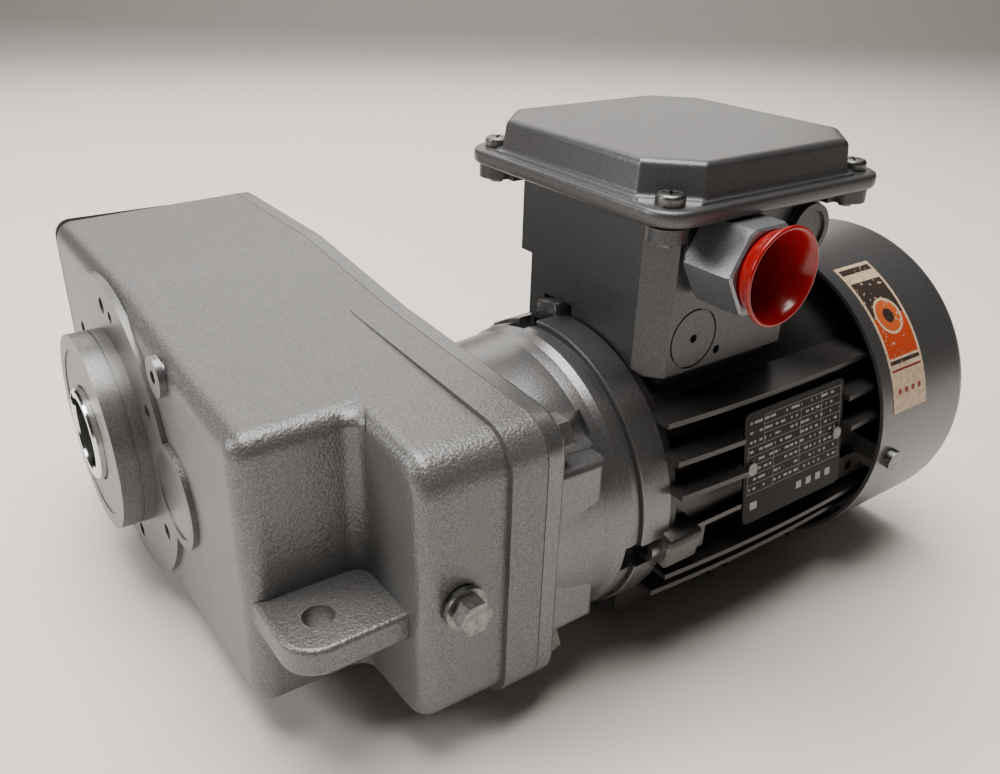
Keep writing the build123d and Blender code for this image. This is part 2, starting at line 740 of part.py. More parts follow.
def bearing_rings(x0, bearing, y):
    """Outer ring and inner ring of a deep groove bearing."""
    bore, outer, width, ball, _ = bearing
    track = (bore + outer) / 2
    outside = tube(x0, x0 + width, outer, track + ball + RUN, y)
    inside = tube(x0, x0 + width, track - ball - RUN, bore, y)
    return outside, inside


def bearing_balls(x0, bearing, y):
    bore, outer, width, ball, count = bearing
    track = (bore + outer) / 2
    balls = []
    for number in range(count):
        dy, dz = polar(track, 90 + number * 360 / count)
        balls.append(Pos(x0 + width / 2, y + dy, dz) * Sphere(ball))
    return balls


def bearing_set(name, starts, bearing, y):
    outside = []
    inside = []
    balls = []
    for x0 in starts:
        outer, inner = bearing_rings(x0, bearing, y)
        outside.append(outer)
        inside.append(inner)
        balls += bearing_balls(x0, bearing, y)
    save(name + "_outer_rings", Compound(children=outside))
    save(name + "_inner_rings", Compound(children=inside))
    save(name + "_balls", Compound(children=balls))


def lip_seal(x0, width, outer, shaft, y, faces_back):
    """Radial shaft seal: a rubber ring with its lip leaning along the shaft."""
    lip = shaft + RUN
    points = [
        (0, outer),
        (width, outer),
        (width, outer - 2),
        (2, outer - 2),
        (2, lip + 2.5),
        (width * 0.75, lip + 1.2),
        (width * 0.75, lip),
        (0, lip + 0.8),
    ]
    if faces_back:
        points = [(x0 + width - x, radius) for x, radius in points]
    else:
        points = [(x0 + x, radius) for x, radius in points]
    return turned(points, y)


# Output shaft

def hollow_shaft():
    seat_end = OUTPUT_GEAR_X + OUTPUT_GEAR_WIDTH
    body = rod(OUTPUT_SHAFT_START, OUTPUT_SHAFT_END, OUTPUT_BEARING[0])
    body += rod(FRONT_BEARING_X + OUTPUT_BEARING[2], seat_end, GEAR_SEAT_RADIUS)
    body += rod(seat_end, seat_end + COLLAR, COLLAR_RADIUS)
    ends = [e for e in body.edges() if abs(e.center().X - OUTPUT_SHAFT_START) < 0.01]
    ends += [e for e in body.edges() if abs(e.center().X - OUTPUT_SHAFT_END) < 0.01]
    body = chamfer(ends, BORE_CHAMFER)
    body -= rod(OUTPUT_SHAFT_START - 1, OUTPUT_SHAFT_END + 1, BORE_RADIUS)
    bore = [
        e for e in body.edges()
        if e.bounding_box().size.X < 0.01 and e.bounding_box().max.Y < BORE_RADIUS + 0.1
        and (abs(e.center().X - OUTPUT_SHAFT_START) < 0.01 or abs(e.center().X - OUTPUT_SHAFT_END) < 0.01)
    ]
    body = chamfer(bore, BORE_CHAMFER)
    slot = block(
        OUTPUT_SHAFT_START - 1, OUTPUT_SHAFT_END + 1,
        0, BORE_RADIUS + KEYWAY_DEPTH, -KEYWAY_WIDTH / 2, KEYWAY_WIDTH / 2,
    )
    body -= Rot(KEYWAY_ANGLE, 0, 0) * slot
    return body - gear_key()


def gear_key():
    """Flat key between the hollow shaft and the output gear."""
    middle = GEAR_SEAT_RADIUS
    return block(
        OUTPUT_GEAR_X + 2, OUTPUT_GEAR_X + OUTPUT_GEAR_WIDTH - 2,
        middle - GEAR_KEY_HEIGHT / 2, middle + GEAR_KEY_HEIGHT / 2,
        -GEAR_KEY_WIDTH / 2, GEAR_KEY_WIDTH / 2,
    )


def output_gear():
    wheel = toothed_wheel(
        SECOND_GEAR_TEETH, SECOND_MODULE, OUTPUT_GEAR_X, OUTPUT_GEAR_WIDTH, 0,
        GEAR_SEAT_RADIUS, 180, -PINION_SHIFT,
    )
    rim = SECOND_GEAR_TEETH * SECOND_MODULE / 2 - SECOND_MODULE * 1.5 - GEAR_RIM
    hub = GEAR_SEAT_RADIUS + GEAR_RIM
    side = (OUTPUT_GEAR_WIDTH - GEAR_WEB) / 2
    for x0 in (OUTPUT_GEAR_X - 1, OUTPUT_GEAR_X + OUTPUT_GEAR_WIDTH - side):
        wheel -= tube(x0, x0 + side + 1, rim, hub)
    return wheel - gear_key() - block(
        OUTPUT_GEAR_X - 1, OUTPUT_GEAR_X + OUTPUT_GEAR_WIDTH + 1,
        0, GEAR_SEAT_RADIUS + GEAR_KEY_HEIGHT / 2, -GEAR_KEY_WIDTH / 2, GEAR_KEY_WIDTH / 2,
    )


def spacer_sleeve():
    start = OUTPUT_GEAR_X + OUTPUT_GEAR_WIDTH + COLLAR
    return tube(start, REAR_BEARING_OUT_X, OUTPUT_BEARING[0] + SLEEVE_WALL, OUTPUT_BEARING[0])


def gear_ring():
    """Distance ring between the front bearing and the output gear."""
    start = FRONT_BEARING_X + OUTPUT_BEARING[2]
    return tube(start, OUTPUT_GEAR_X, GEAR_SEAT_RADIUS + GEAR_RIM - 3, GEAR_SEAT_RADIUS)


# Intermediate shaft

def inter_key():
    middle = INTER_SEAT_RADIUS
    return block(
        INTER_GEAR_X + 2, INTER_GEAR_X + INTER_GEAR_WIDTH - 2,
        INTER_Y + middle - INTER_KEY / 2, INTER_Y + middle + INTER_KEY / 2,
        -INTER_KEY / 2, INTER_KEY / 2,
    )


def pinion_shaft():
    """Intermediate shaft with its pinion cut in one piece."""
    start = INTER_BEARING_X
    pinion_x0 = OUTPUT_GEAR_X - PINION_OVERHANG
    pinion_x1 = OUTPUT_GEAR_X + OUTPUT_GEAR_WIDTH + PINION_OVERHANG
    shaft = rod(start, INTER_REAR_X + SMALL_BEARING[2], SMALL_BEARING[0], INTER_Y)
    shaft += rod(start + SMALL_BEARING[2], INTER_REAR_X, INTER_BODY_RADIUS, INTER_Y)
    shaft += rod(INTER_GEAR_X - 2, INTER_GEAR_X + INTER_GEAR_WIDTH, INTER_SEAT_RADIUS, INTER_Y)
    shaft += rod(INTER_GEAR_X - 6, INTER_GEAR_X, INTER_COLLAR_RADIUS, INTER_Y)
    outline = gear_outline(SECOND_PINION_TEETH, SECOND_MODULE, 180 / SECOND_PINION_TEETH, PINION_SHIFT)
    shaft += extrude(facing_x(pinion_x0, INTER_Y) * outline, pinion_x1 - pinion_x0)
    return shaft - inter_key()


def intermediate_gear():
    wheel = toothed_wheel(
        FIRST_GEAR_TEETH, FIRST_MODULE, INTER_GEAR_X, INTER_GEAR_WIDTH, INTER_Y, INTER_SEAT_RADIUS, 180
    )
    slot = block(
        INTER_GEAR_X - 1, INTER_GEAR_X + INTER_GEAR_WIDTH + 1,
        INTER_Y, INTER_Y + INTER_SEAT_RADIUS + INTER_KEY / 2, -INTER_KEY / 2, INTER_KEY / 2,
    )
    return wheel - slot


# Motor shaft and rotor

def motor_shaft():
    start = INTER_GEAR_X - 2
    shaft = rod(start, MOTOR_SHAFT_END, SMALL_BEARING[0], MOTOR_Y)
    shaft += rod(DRIVE_BEARING_X + SMALL_BEARING[2], REAR_BEARING_X, MOTOR_BODY_RADIUS, MOTOR_Y)
    return shaft


def input_pinion():
    start = INTER_GEAR_X - 1
    return toothed_wheel(
        FIRST_PINION_TEETH, FIRST_MODULE, start, INTER_GEAR_WIDTH + 2, MOTOR_Y,
        SMALL_BEARING[0], 180 / FIRST_PINION_TEETH,
    )


def rotor_core():
    core = tube(CORE_START, CORE_END, ROTOR_RADIUS - AIR_GAP, MOTOR_BODY_RADIUS, MOTOR_Y)
    for x0 in (CORE_START - 6, CORE_END):
        core += tube(x0, x0 + 6, ROTOR_RADIUS - 2, ROTOR_RADIUS - 12, MOTOR_Y)
    return core


def fan():
    """Plastic fan: a disc with straight radial blades, pushed on the shaft end."""
    wheel = rod(FAN_X, FAN_X + FAN_DISC, FAN_RADIUS, MOTOR_Y)
    wheel += rod(FAN_X, FAN_X + FAN_WIDTH, FAN_HUB_RADIUS, MOTOR_Y)
    for number in range(FAN_BLADES):
        blade = block(
            FAN_X, FAN_X + FAN_WIDTH, FAN_HUB_RADIUS - 2, FAN_RADIUS - 1, -FAN_BLADE / 2, FAN_BLADE / 2
        )
        wheel += Pos(0, MOTOR_Y, 0) * Rot(number * 360 / FAN_BLADES, 0, 0) * blade
    return wheel - rod(FAN_X - 1, FAN_X + FAN_WIDTH + 1, SMALL_BEARING[0], MOTOR_Y)


def fan_clip():
    start = FAN_X + FAN_WIDTH
    return tube(start, start + CLIP_THICK, SMALL_BEARING[0] + 3, SMALL_BEARING[0], MOTOR_Y)


# Motor frame

def side_fin(z, thickness):
    front = math.sqrt(FIN_FRONT_REACH ** 2 - z ** 2)
    middle = math.sqrt(FIN_REACH ** 2 - z ** 2)
    span = (FLANGE_X, (FLANGE_X + FRAME_END_X) / 2, FRAME_END_X)
    near = ThreePointArc((span[0], -front), (span[1], -middle), (span[2], -front))
    far = ThreePointArc((span[2], front), (span[1], middle), (span[0], front))
    ends = [Line((span[2], -front), (span[2], front)), Line((span[0], front), (span[0], -front))]
    face = make_face([near, ends[0], far, ends[1]])
    return extrude(Pos(0, MOTOR_Y, z - thickness / 2) * face, thickness)


def lower_fin(y, thickness):
    """Upright fin under the frame, as deep as the fins beside it."""
    depth = math.sqrt(FIN_REACH ** 2 - y ** 2)
    return block(FLANGE_X, FRAME_END_X, MOTOR_Y + y - thickness / 2, MOTOR_Y + y + thickness / 2, -depth, 0)


def foot_pads():
    pads = []
    for x0 in (FLANGE_X + 1, REAR_FOOT_X):
        x1 = x0 + FOOT_LENGTH
        pads.append(block(x0, x1, MOTOR_Y - FOOT_FACE, MOTOR_Y + FOOT_FACE, FOOT_TOP - FOOT_HEIGHT, FOOT_TOP))
    rail = block(
        FLANGE_X + 1, FRAME_END_X, MOTOR_Y - FOOT_FACE, MOTOR_Y + FOOT_FACE, FOOT_TOP - FIN_THICK, FOOT_TOP
    )
    return pads + [rail]


def plate_frame():
    """Plane of the nameplate, its z pointing out of the plate."""
    tilt = math.radians(PLATE_TILT)
    return Plane(
        origin=(PLATE_X, PLATE_Y, PLATE_Z), x_dir=(1, 0, 0), z_dir=(0, -math.cos(tilt), math.sin(tilt))
    )


def foot_holes():
    holes = []
    for x0 in (FLANGE_X + 1, REAR_FOOT_X):
        x = x0 + FOOT_LENGTH / 2
        for side in (-1, 1):
            face = Plane(
                origin=(x, MOTOR_Y + side * (FOOT_FACE + 1), FOOT_TOP - FOOT_HEIGHT / 2), z_dir=(0, -side, 0)
            )
            holes.append(extrude(face * Circle(FOOT_HOLE_RADIUS), FOOT_HOLE_DEPTH + 1))
    return holes


def stator_frame():
    """Die-cast motor frame with side fins, lower fins, foot pads and screw blocks."""
    body = rod(FLANGE_X, FRAME_END_X, FRAME_WALL_RADIUS, MOTOR_Y)
    body += rod(FLANGE_X, FLANGE_X + FRAME_RING, FRAME_RING_RADIUS, MOTOR_Y)
    for z in SIDE_FINS:
        body += side_fin(z, FIN_THICK)
    for y in LOWER_FINS:
        for side in (-1, 1):
            body += lower_fin(side * y, FIN_THICK)
    for pad in foot_pads():
        body += pad
    body += extrude(seat_plan(0), BOX_SEAT_Z)
    for angle in SCREW_ANGLES:
        body += tie_block(angle)
        body += shield_block(angle)
    for angle in COVER_SCREW_ANGLES:
        body += around_motor(cover_ear(), angle)
    body -= rod(FLANGE_X - 1, FRAME_END_X + 1, FRAME_BORE, MOTOR_Y)
    body -= rod_z(LEAD_X, MOTOR_Y, 0, BOX_SEAT_Z + 1, LEAD_HOLE)
    room = Box(PLATE_LENGTH + 2 * PLATE_ROOM, PLATE_HEIGHT + 2 * PLATE_ROOM, 10 * PLATE_THICK)
    body -= plate_frame() * Pos(0, 0, 4 * PLATE_THICK) * room
    for x in (-RIVET_PITCH / 2, RIVET_PITCH / 2):
        body += plate_frame() * Pos(x, 0, -PLATE_THICK) * extrude(Circle(RIVET_POST), -POST_LENGTH)
        body -= plate_frame() * Pos(x, 0, 0) * extrude(Circle(RIVET_RADIUS), -RIVET_HOLE, both=True)
    for hole in foot_holes():
        body -= hole
    for angle in COVER_SCREW_ANGLES:
        body -= around_motor(cover_screw_hole(), angle)
    for y, z in tie_places():
        body -= rod(FLANGE_X - 1, FLANGE_X + TIE_DEPTH, TIE_SCREW_RADIUS, MOTOR_Y + y, z)
        body -= rod(FRAME_END_X - TIE_DEPTH, FRAME_END_X + 1, TIE_SCREW_RADIUS - 0.5, MOTOR_Y + y, z)
    for x, y in box_screw_places():
        body -= rod_z(x, y, BOX_SEAT_Z - 6, BOX_SEAT_Z + 1, LID_SCREW_RADIUS - 0.5)
    return body


def rod_z(x, y, z0, z1, radius):
    return extrude(Pos(x, y, z0) * Circle(radius), z1 - z0)


def tie_block(angle):
    """Block that takes one flange screw, its sides along and across the radius."""
    shape = block(
        FLANGE_X, FLANGE_X + LUG_BLOCK_LENGTH, FRAME_BORE + 2, LUG_BLOCK_REACH, -LUG_BLOCK_HALF, LUG_BLOCK_HALF
    )
    return around_motor(shape, angle)


def around_motor(shape, angle):
    """Turns a shape made along +Y from the X axis to its place round the motor axis."""
    return Pos(0, MOTOR_Y, 0) * Rot(angle, 0, 0) * shape


def cover_ear():
    """Ear on the frame that takes one of the fan cover's screws."""
    return block(
        COVER_SCREW_X - COVER_EAR_HALF, COVER_SCREW_X + COVER_EAR_HALF,
        FRAME_BORE + 2, COVER_RADIUS - COVER_SHEET - COVER_EAR_GAP, -COVER_EAR_HALF, COVER_EAR_HALF,
    )


def shield_block(angle):
    shape = block(
        FRAME_END_X - LUG_BLOCK_LENGTH, FRAME_END_X, FRAME_BORE + 2, SCREW_CIRCLE + 4.5,
        -LUG_BLOCK_HALF, LUG_BLOCK_HALF,
    )
    return around_motor(shape, angle)


def stator_core():
    return tube(CORE_START, CORE_END, FRAME_BORE, ROTOR_RADIUS, MOTOR_Y)


def windings():
    coils = []
    for x0 in (CORE_START - WINDING_LENGTH, CORE_END):
        coil = tube(x0, x0 + WINDING_LENGTH, WINDING_OUTER, WINDING_INNER, MOTOR_Y)
        coils.append(coil)
    return Compound(children=coils)


def tie_screws():
    """Socket head screws that hold the motor frame to the bell."""
    screws = []
    head_x = FLANGE_X - TIE_EAR - TIE_HEAD
    for y, z in tie_places():
        place = (MOTOR_Y + y, z)
        screw = rod(head_x, head_x + TIE_HEAD, TIE_HEAD_RADIUS, *place)
        screw += rod(head_x, FLANGE_X + TIE_DEPTH - 1, TIE_SCREW_RADIUS, *place)
        screw -= extrude(facing_x(head_x - 1, *place) * hexagon(TIE_SOCKET_AF), TIE_SOCKET_DEPTH + 1)
        screws.append(screw)
    return Compound(children=screws)


# Terminal box

def box_plan(half_x, half_y, corner):
    face = make_face(Plane(origin=(BOX_X, MOTOR_Y, 0)) * Rectangle(2 * half_x, 2 * half_y))
    return chamfer(face.vertices(), corner)


def lid_screw_places():
    pitch = LID_SCREW_PITCH
    return [(BOX_X + sx * pitch, MOTOR_Y + sy * pitch) for sx in (-1, 1) for sy in (-1, 1)]


def box_screw_places():
    return [(BOX_X + sx * BOX_SCREW_X, MOTOR_Y + sy * BOX_SCREW_Y) for sx in (-1, 1) for sy in (-1, 1)]


def seat_plan(inset):
    """Outline of the motor's flat seat, inside the skirt of the terminal box."""
    gap = BOX_WALL + SEAT_CLEARANCE + inset
    return box_plan(FOOT_HALF_X - gap, FOOT_HALF_Y - gap, BOX_CHAMFER - 1)


def screw_block_pocket(extra, z0):
    """Room in the box's front for the motor's upper screw block, extra larger all round."""
    y, z = polar(LUG_BLOCK_REACH, SCREW_ANGLES[0])
    lean = math.radians(90 - SCREW_ANGLES[0])
    half = LUG_BLOCK_HALF * math.cos(lean) + POCKET_CLEARANCE + extra
    foot_y = y - (LUG_BLOCK_REACH - FRAME_BORE) * math.sin(lean)
    top = z + LUG_BLOCK_HALF * math.sin(lean) + POCKET_CLEARANCE + extra
    return block(
        BOX_X - FOOT_HALF_X - 1, FLANGE_X + LUG_BLOCK_LENGTH + POCKET_CLEARANCE + extra,
        MOTOR_Y + foot_y - half, MOTOR_Y + y + half, z0, top,
    )


def entry_plane(x, y):
    return Plane(origin=(x, y, ENTRY_Z), x_dir=(1, 0, 0), z_dir=(0, -1, 0))


def terminal_box_base():
    base_z = BOX_SEAT_Z + BOX_GASKET
    floor_z = base_z + BOX_FLOOR
    foot_plan = box_plan(FOOT_HALF_X, FOOT_HALF_Y, BOX_CHAMFER)
    room_plan = box_plan(FOOT_HALF_X - BOX_WALL, FOOT_HALF_Y - BOX_WALL, BOX_CHAMFER - 1)
    body = extrude(Pos(0, 0, BOX_SKIRT_Z) * foot_plan, BOX_STEP_Z - BOX_SKIRT_Z)
    body += extrude(
        Pos(0, 0, BOX_STEP_Z) * box_plan(BOX_HALF_X, BOX_HALF_Y, BOX_CHAMFER), BOX_RIM_Z - BOX_STEP_Z
    )
    body -= extrude(Pos(0, 0, floor_z) * room_plan, BOX_RIM_Z - floor_z + 1)
    body -= extrude(Pos(0, 0, BOX_SKIRT_Z - 1) * room_plan, base_z - BOX_SKIRT_Z + 1)
    pocket = screw_block_pocket(POCKET_WALL, base_z)
    body += pocket & extrude(Pos(0, 0, base_z) * foot_plan, BOX_STEP_Z - base_z)
    body -= screw_block_pocket(0, BOX_SKIRT_Z - 1)
    body -= rod(FLANGE_X - 5, FRAME_END_X, FRAME_WALL_RADIUS + SEAT_CLEARANCE, MOTOR_Y)
    ring_end = FLANGE_X + FRAME_RING + SEAT_CLEARANCE
    body -= rod(FLANGE_X - 5, ring_end, FRAME_RING_RADIUS + SEAT_CLEARANCE, MOTOR_Y)
    rim_z = BOX_RIM_Z - EAR_HEIGHT
    for x, y in lid_screw_places():
        body += rod_z(x, y, rim_z, BOX_RIM_Z, EAR_RADIUS)
        inward_x = x - math.copysign(EAR_WEB, x - BOX_X)
        inward_y = y - math.copysign(EAR_WEB, y - MOTOR_Y)
        web = block(min(x, inward_x), max(x, inward_x), min(y, inward_y), max(y, inward_y), rim_z, BOX_RIM_Z)
        body += web
    for x, y in lid_screw_places():
        body -= rod_z(x, y, BOX_RIM_Z - LID_SCREW_DEPTH, BOX_RIM_Z + 1, LID_SCREW_RADIUS)
    for x in (ENTRY_X, SPARE_ENTRY_X):
        radius = ENTRY_RADIUS if x == ENTRY_X else SPARE_ENTRY_RADIUS
        face = entry_plane(x, MOTOR_Y - BOX_HALF_Y)
        body += extrude(face * Circle(radius + ENTRY_COLLAR), ENTRY_RISE)
        body -= extrude(face * Pos(0, 0, ENTRY_RISE + 1) * Circle(radius), -(ENTRY_WALL + ENTRY_RISE + 3))
    body -= knockout()
    body -= rod_z(LEAD_X, MOTOR_Y, base_z - 1, floor_z + 1, LEAD_HOLE)
    for x, y in box_screw_places():
        body -= rod_z(x, y, base_z - 1, floor_z + 1, LID_SCREW_RADIUS)
    return body


def knockout():
    """Groove round a closed entry and two small blind holes, in the foot's near face."""
    face = Plane(origin=(KNOCKOUT_X, MOTOR_Y - FOOT_HALF_Y, KNOCKOUT_Z), x_dir=(1, 0, 0), z_dir=(0, -1, 0))
    ring = Circle(KNOCKOUT_RADIUS) - Circle(KNOCKOUT_RADIUS - KNOCKOUT_GROOVE)
    cut = extrude(face * ring, -KNOCKOUT_GROOVE)
    for x, z in ((0, 0), (KNOCKOUT_RADIUS + 1.6, -7.6)):
        cut += extrude(face * Pos(x, z, 1) * Circle(1.7), -3)
    return cut


def flat_gasket(plan_outer, plan_inner, z, thickness, holes, radius):
    gasket = extrude(Pos(0, 0, z) * (plan_outer - plan_inner), thickness)
    for x, y in holes:
        gasket -= rod_z(x, y, z - 1, z + thickness + 1, radius)
    return gasket


def box_gasket():
    inner = Pos(LEAD_X, MOTOR_Y, 0) * Circle(LEAD_HOLE)
    gasket = flat_gasket(seat_plan(0), inner, BOX_SEAT_Z, BOX_GASKET, box_screw_places(), LID_SCREW_RADIUS)
    return gasket - screw_block_pocket(0, BOX_SKIRT_Z)


def lid_gasket():
    outer = box_plan(BOX_HALF_X, BOX_HALF_Y, BOX_CHAMFER)
    inner = box_plan(FOOT_HALF_X - BOX_WALL, FOOT_HALF_Y - BOX_WALL, BOX_CHAMFER - 1)
    return flat_gasket(outer, inner, BOX_RIM_Z, BOX_GASKET, (), 0)


def terminal_box_lid():
    """Cast lid: a flange with four screw corners and a raised eight-cornered dome."""
    flange_z = BOX_RIM_Z + BOX_GASKET
    plan = fillet(
        make_face(Plane(origin=(BOX_X, MOTOR_Y, 0)) * Rectangle(2 * LID_HALF, 2 * LID_HALF)).vertices(), LID_CORNER
    )
    flange = extrude(Pos(0, 0, flange_z) * plan, LID_FLANGE - BOX_GASKET)
    dome_plan = box_plan(LID_DOME_HALF + 1, LID_DOME_HALF + 1, LID_DOME_CORNER)
    dome = extrude(Pos(0, 0, flange_z) * dome_plan, LID_TOP_Z - flange_z, taper=LID_DRAFT)
    top = [e for e in dome.edges() if e.bounding_box().min.Z > LID_TOP_Z - 0.01]
    dome = fillet(top, LID_EDGE)
    room_plan = box_plan(FOOT_HALF_X - BOX_WALL, FOOT_HALF_Y - BOX_WALL, BOX_CHAMFER - 1)
    lid = flange + dome
    lid -= extrude(Pos(0, 0, flange_z - 1) * room_plan, LID_TOP_Z - LID_WALL - flange_z + 1)
    for x, y in lid_screw_places():
        lid -= rod_z(x, y, flange_z - 1, LID_TOP_Z + 1, LID_SCREW_RADIUS)
    return lid


def lid_screws():
    screws = []
    for x, y in lid_screw_places():
        top = BOX_RIM_Z + LID_FLANGE
        screw = rod_z(x, y, top, top + LID_HEAD, LID_HEAD_RADIUS)
        crown = [e for e in screw.edges() if e.center().Z > top + LID_HEAD - 0.01]
        screw = fillet(crown, 1.5)
        screw += rod_z(x, y, BOX_RIM_Z - LID_SCREW_DEPTH + 1, top + 1, LID_SCREW_RADIUS)
        for turn in (0, 90):
            slot = Pos(x, y, top + LID_HEAD) * Rot(0, 0, 45 + turn) * Box(5.5, 1.0, 3)
            screw -= slot
        screws.append(screw)
    return Compound(children=screws)


def box_screws():
    screws = []
    floor_z = BOX_SEAT_Z + BOX_GASKET + BOX_FLOOR
    for x, y in box_screw_places():
        screw = rod_z(x, y, floor_z, floor_z + 3, BOX_SCREW_HEAD)
        screw += rod_z(x, y, BOX_SEAT_Z - 5, floor_z + 1, LID_SCREW_RADIUS - 0.5)
        screws.append(screw)
    return Compound(children=screws)


def terminal_places():
    rows = (-TERMINAL_ROW, TERMINAL_ROW)
    columns = (-TERMINAL_PITCH, 0, TERMINAL_PITCH)
    return [(BOARD_X + dx, MOTOR_Y + dy) for dy in rows for dx in columns]


def terminal_board():
    z0 = BOX_SEAT_Z + BOX_GASKET + BOX_FLOOR
    board = block(
        BOARD_X - BOARD_HALF_X, BOARD_X + BOARD_HALF_X, MOTOR_Y - BOARD_HALF_Y, MOTOR_Y + BOARD_HALF_Y,
        z0, z0 + BOARD_HEIGHT,
    )
    for x, y in terminal_places():
        board -= rod_z(x, y, z0 - 1, z0 + BOARD_HEIGHT + 1, STUD_RADIUS)
    return board


def terminal_studs():
    """Threaded studs with their nuts."""
    z0 = BOX_SEAT_Z + BOX_GASKET + BOX_FLOOR
    studs = []
    for x, y in terminal_places():
        stud = rod_z(x, y, z0 + 1, z0 + 1 + STUD_LENGTH, STUD_RADIUS)
        stud += extrude(Pos(x, y, z0 + BOARD_HEIGHT + LINK_THICK) * hexagon(STUD_NUT_AF), STUD_NUT)
        studs.append(stud)
    return Compound(children=studs)


def terminal_links():
    z0 = BOX_SEAT_Z + BOX_GASKET + BOX_FLOOR + BOARD_HEIGHT
    half = LINK_WIDTH / 2
    reach = TERMINAL_ROW + half
    links = []
    for dx in (-TERMINAL_PITCH, 0, TERMINAL_PITCH):
        x = BOARD_X + dx
        link = block(x - half, x + half, MOTOR_Y - reach, MOTOR_Y + reach, z0, z0 + LINK_THICK)
        for dy in (-TERMINAL_ROW, TERMINAL_ROW):
            link -= rod_z(x, MOTOR_Y + dy, z0 - 1, z0 + LINK_THICK + 1, STUD_RADIUS)
        links.append(link)
    return Compound(children=links)


# Cable entries

def cable_adaptor():
    """Hexagonal metal sleeve screwed into the box wall."""
    start = entry_plane(ENTRY_X, ADAPTOR_START_Y)
    sleeve = extrude(start * hexagon(ADAPTOR_AF), ADAPTOR_LENGTH)
    sleeve = chamfer_ends(sleeve, ADAPTOR_END_Y)
    thread = SEAL_RING + ENTRY_RISE + ENTRY_WALL
    sleeve += extrude(start * Circle(ENTRY_RADIUS), -thread)
    bore = entry_plane(ENTRY_X, ADAPTOR_START_Y + thread + 1)
    return sleeve - extrude(bore * Circle(ADAPTOR_BORE), thread + ADAPTOR_LENGTH + 2)


def chamfer_ends(sleeve, y):
    """Turned bevel on the sleeve's corners at its outer end."""
    radius = ADAPTOR_AF / math.sqrt(3)
    cone = Plane(origin=(ENTRY_X, y, ENTRY_Z), x_dir=(1, 0, 0), z_dir=(0, 1, 0))
    keep = extrude(cone * Circle(radius - 1.6), 60, taper=-30)
    return sleeve & keep


def adaptor_seal():
    ring = Circle(ENTRY_RADIUS + ENTRY_COLLAR - 1) - Circle(ENTRY_RADIUS)
    return extrude(entry_plane(ENTRY_X, BOX_NEAR_Y - ENTRY_RISE) * ring, SEAL_RING)


def transit_plug():
    """Red plastic trumpet pushed into the adaptor: hollow, closed at its inner end."""
    mouth = PLUG_RIM_RADIUS
    end = PLUG_END_Y
    root = ADAPTOR_END_Y
    inner = root + PLUG_STEM
    stem = ADAPTOR_BORE
    outside = [
        (0, inner),
        (stem, inner),
        (stem, root),
        (stem + 3, root),
        (mouth - 1.5, end + 2.5),
        (mouth, end + 1.5),
        (mouth - 0.5, end),
        (mouth - 2, end),
        (stem + 1, root - 1.5),
        (stem - PLUG_WALL, root + 2),
        (stem - PLUG_WALL, inner - PLUG_WALL),
        (0, inner - PLUG_WALL),
    ]
    profile = make_face(Polyline(*outside, close=True))
    return Pos(ENTRY_X, 0, ENTRY_Z) * revolve(profile, Axis.Y)


def blank_plug():
    wall_y = BOX_NEAR_Y - ENTRY_RISE
    plug = extrude(entry_plane(SPARE_ENTRY_X, wall_y) * Circle(BLANK_HEAD_RADIUS), BLANK_HEAD)
    plug += extrude(entry_plane(SPARE_ENTRY_X, wall_y) * Circle(SPARE_ENTRY_RADIUS), -(BOX_WALL + 1))
    outer = entry_plane(SPARE_ENTRY_X, wall_y - BLANK_HEAD + 1)
    return plug - extrude(outer * Circle(BLANK_HEAD_RADIUS - 2.5), 2)


# Fan end

def rear_end_shield():
    body = rod(FRAME_END_X, SHIELD_BACK_X, SHIELD_RADIUS, MOTOR_Y)
    body += rod(FRAME_END_X - SPIGOT, FRAME_END_X + 1, FRAME_BORE, MOTOR_Y)
    body += rod(REAR_BEARING_X - 2, SHIELD_BACK_X, SHIELD_HUB_RADIUS, MOTOR_Y)
    body -= rod(REAR_BEARING_X - 3, REAR_BEARING_X + SMALL_BEARING[2] + SPRING, SMALL_BEARING[1], MOTOR_Y)
    body -= rod(REAR_BEARING_X, SHIELD_BACK_X + 1, SMALL_BEARING[0] + SHAFT_GAP, MOTOR_Y)
    for y, z in tie_places():
        body -= rod(FRAME_END_X - 1, SHIELD_BACK_X + 1, TIE_SCREW_RADIUS - 0.5, MOTOR_Y + y, z)
    return body


def shield_screws():
    screws = []
    for y, z in tie_places():
        place = (MOTOR_Y + y, z)
        screw = rod(SHIELD_BACK_X, SHIELD_BACK_X + SHIELD_SCREW_HEAD, TIE_HEAD_RADIUS, *place)
        screw += rod(FRAME_END_X - TIE_DEPTH + 1, SHIELD_BACK_X + 1, TIE_SCREW_RADIUS - 0.5, *place)
        screws.append(screw)
    return Compound(children=screws)


def wave_spring():
    """Preload washer behind the rear bearing's outer ring."""
    x0 = REAR_BEARING_X + SMALL_BEARING[2]
    return tube(x0, x0 + SPRING, SMALL_BEARING[1] - 0.1, SMALL_BEARING[1] - 3.5, MOTOR_Y)


def fan_cover():
    """Pressed steel cover, open towards the frame, with arc slots in its end."""
    radius = COVER_RADIUS
    inner = radius - COVER_SHEET
    outside = rod(COVER_FRONT_X, COVER_END_X, radius, MOTOR_Y)
    outside = fillet([e for e in outside.edges() if e.center().X > COVER_END_X - 1], COVER_ROUND)
    inside = rod(COVER_FRONT_X - 1, COVER_END_X - COVER_SHEET, inner, MOTOR_Y)
    inside = fillet(
        [e for e in inside.edges() if e.center().X > COVER_END_X - COVER_SHEET - 1], COVER_ROUND - COVER_SHEET
    )
    body = outside - inside
    for row in GRILLE_ROWS:
        body -= grille_row(row)
    for angle in COVER_SCREW_ANGLES:
        body -= around_motor(cover_screw_hole(), angle)
    return body


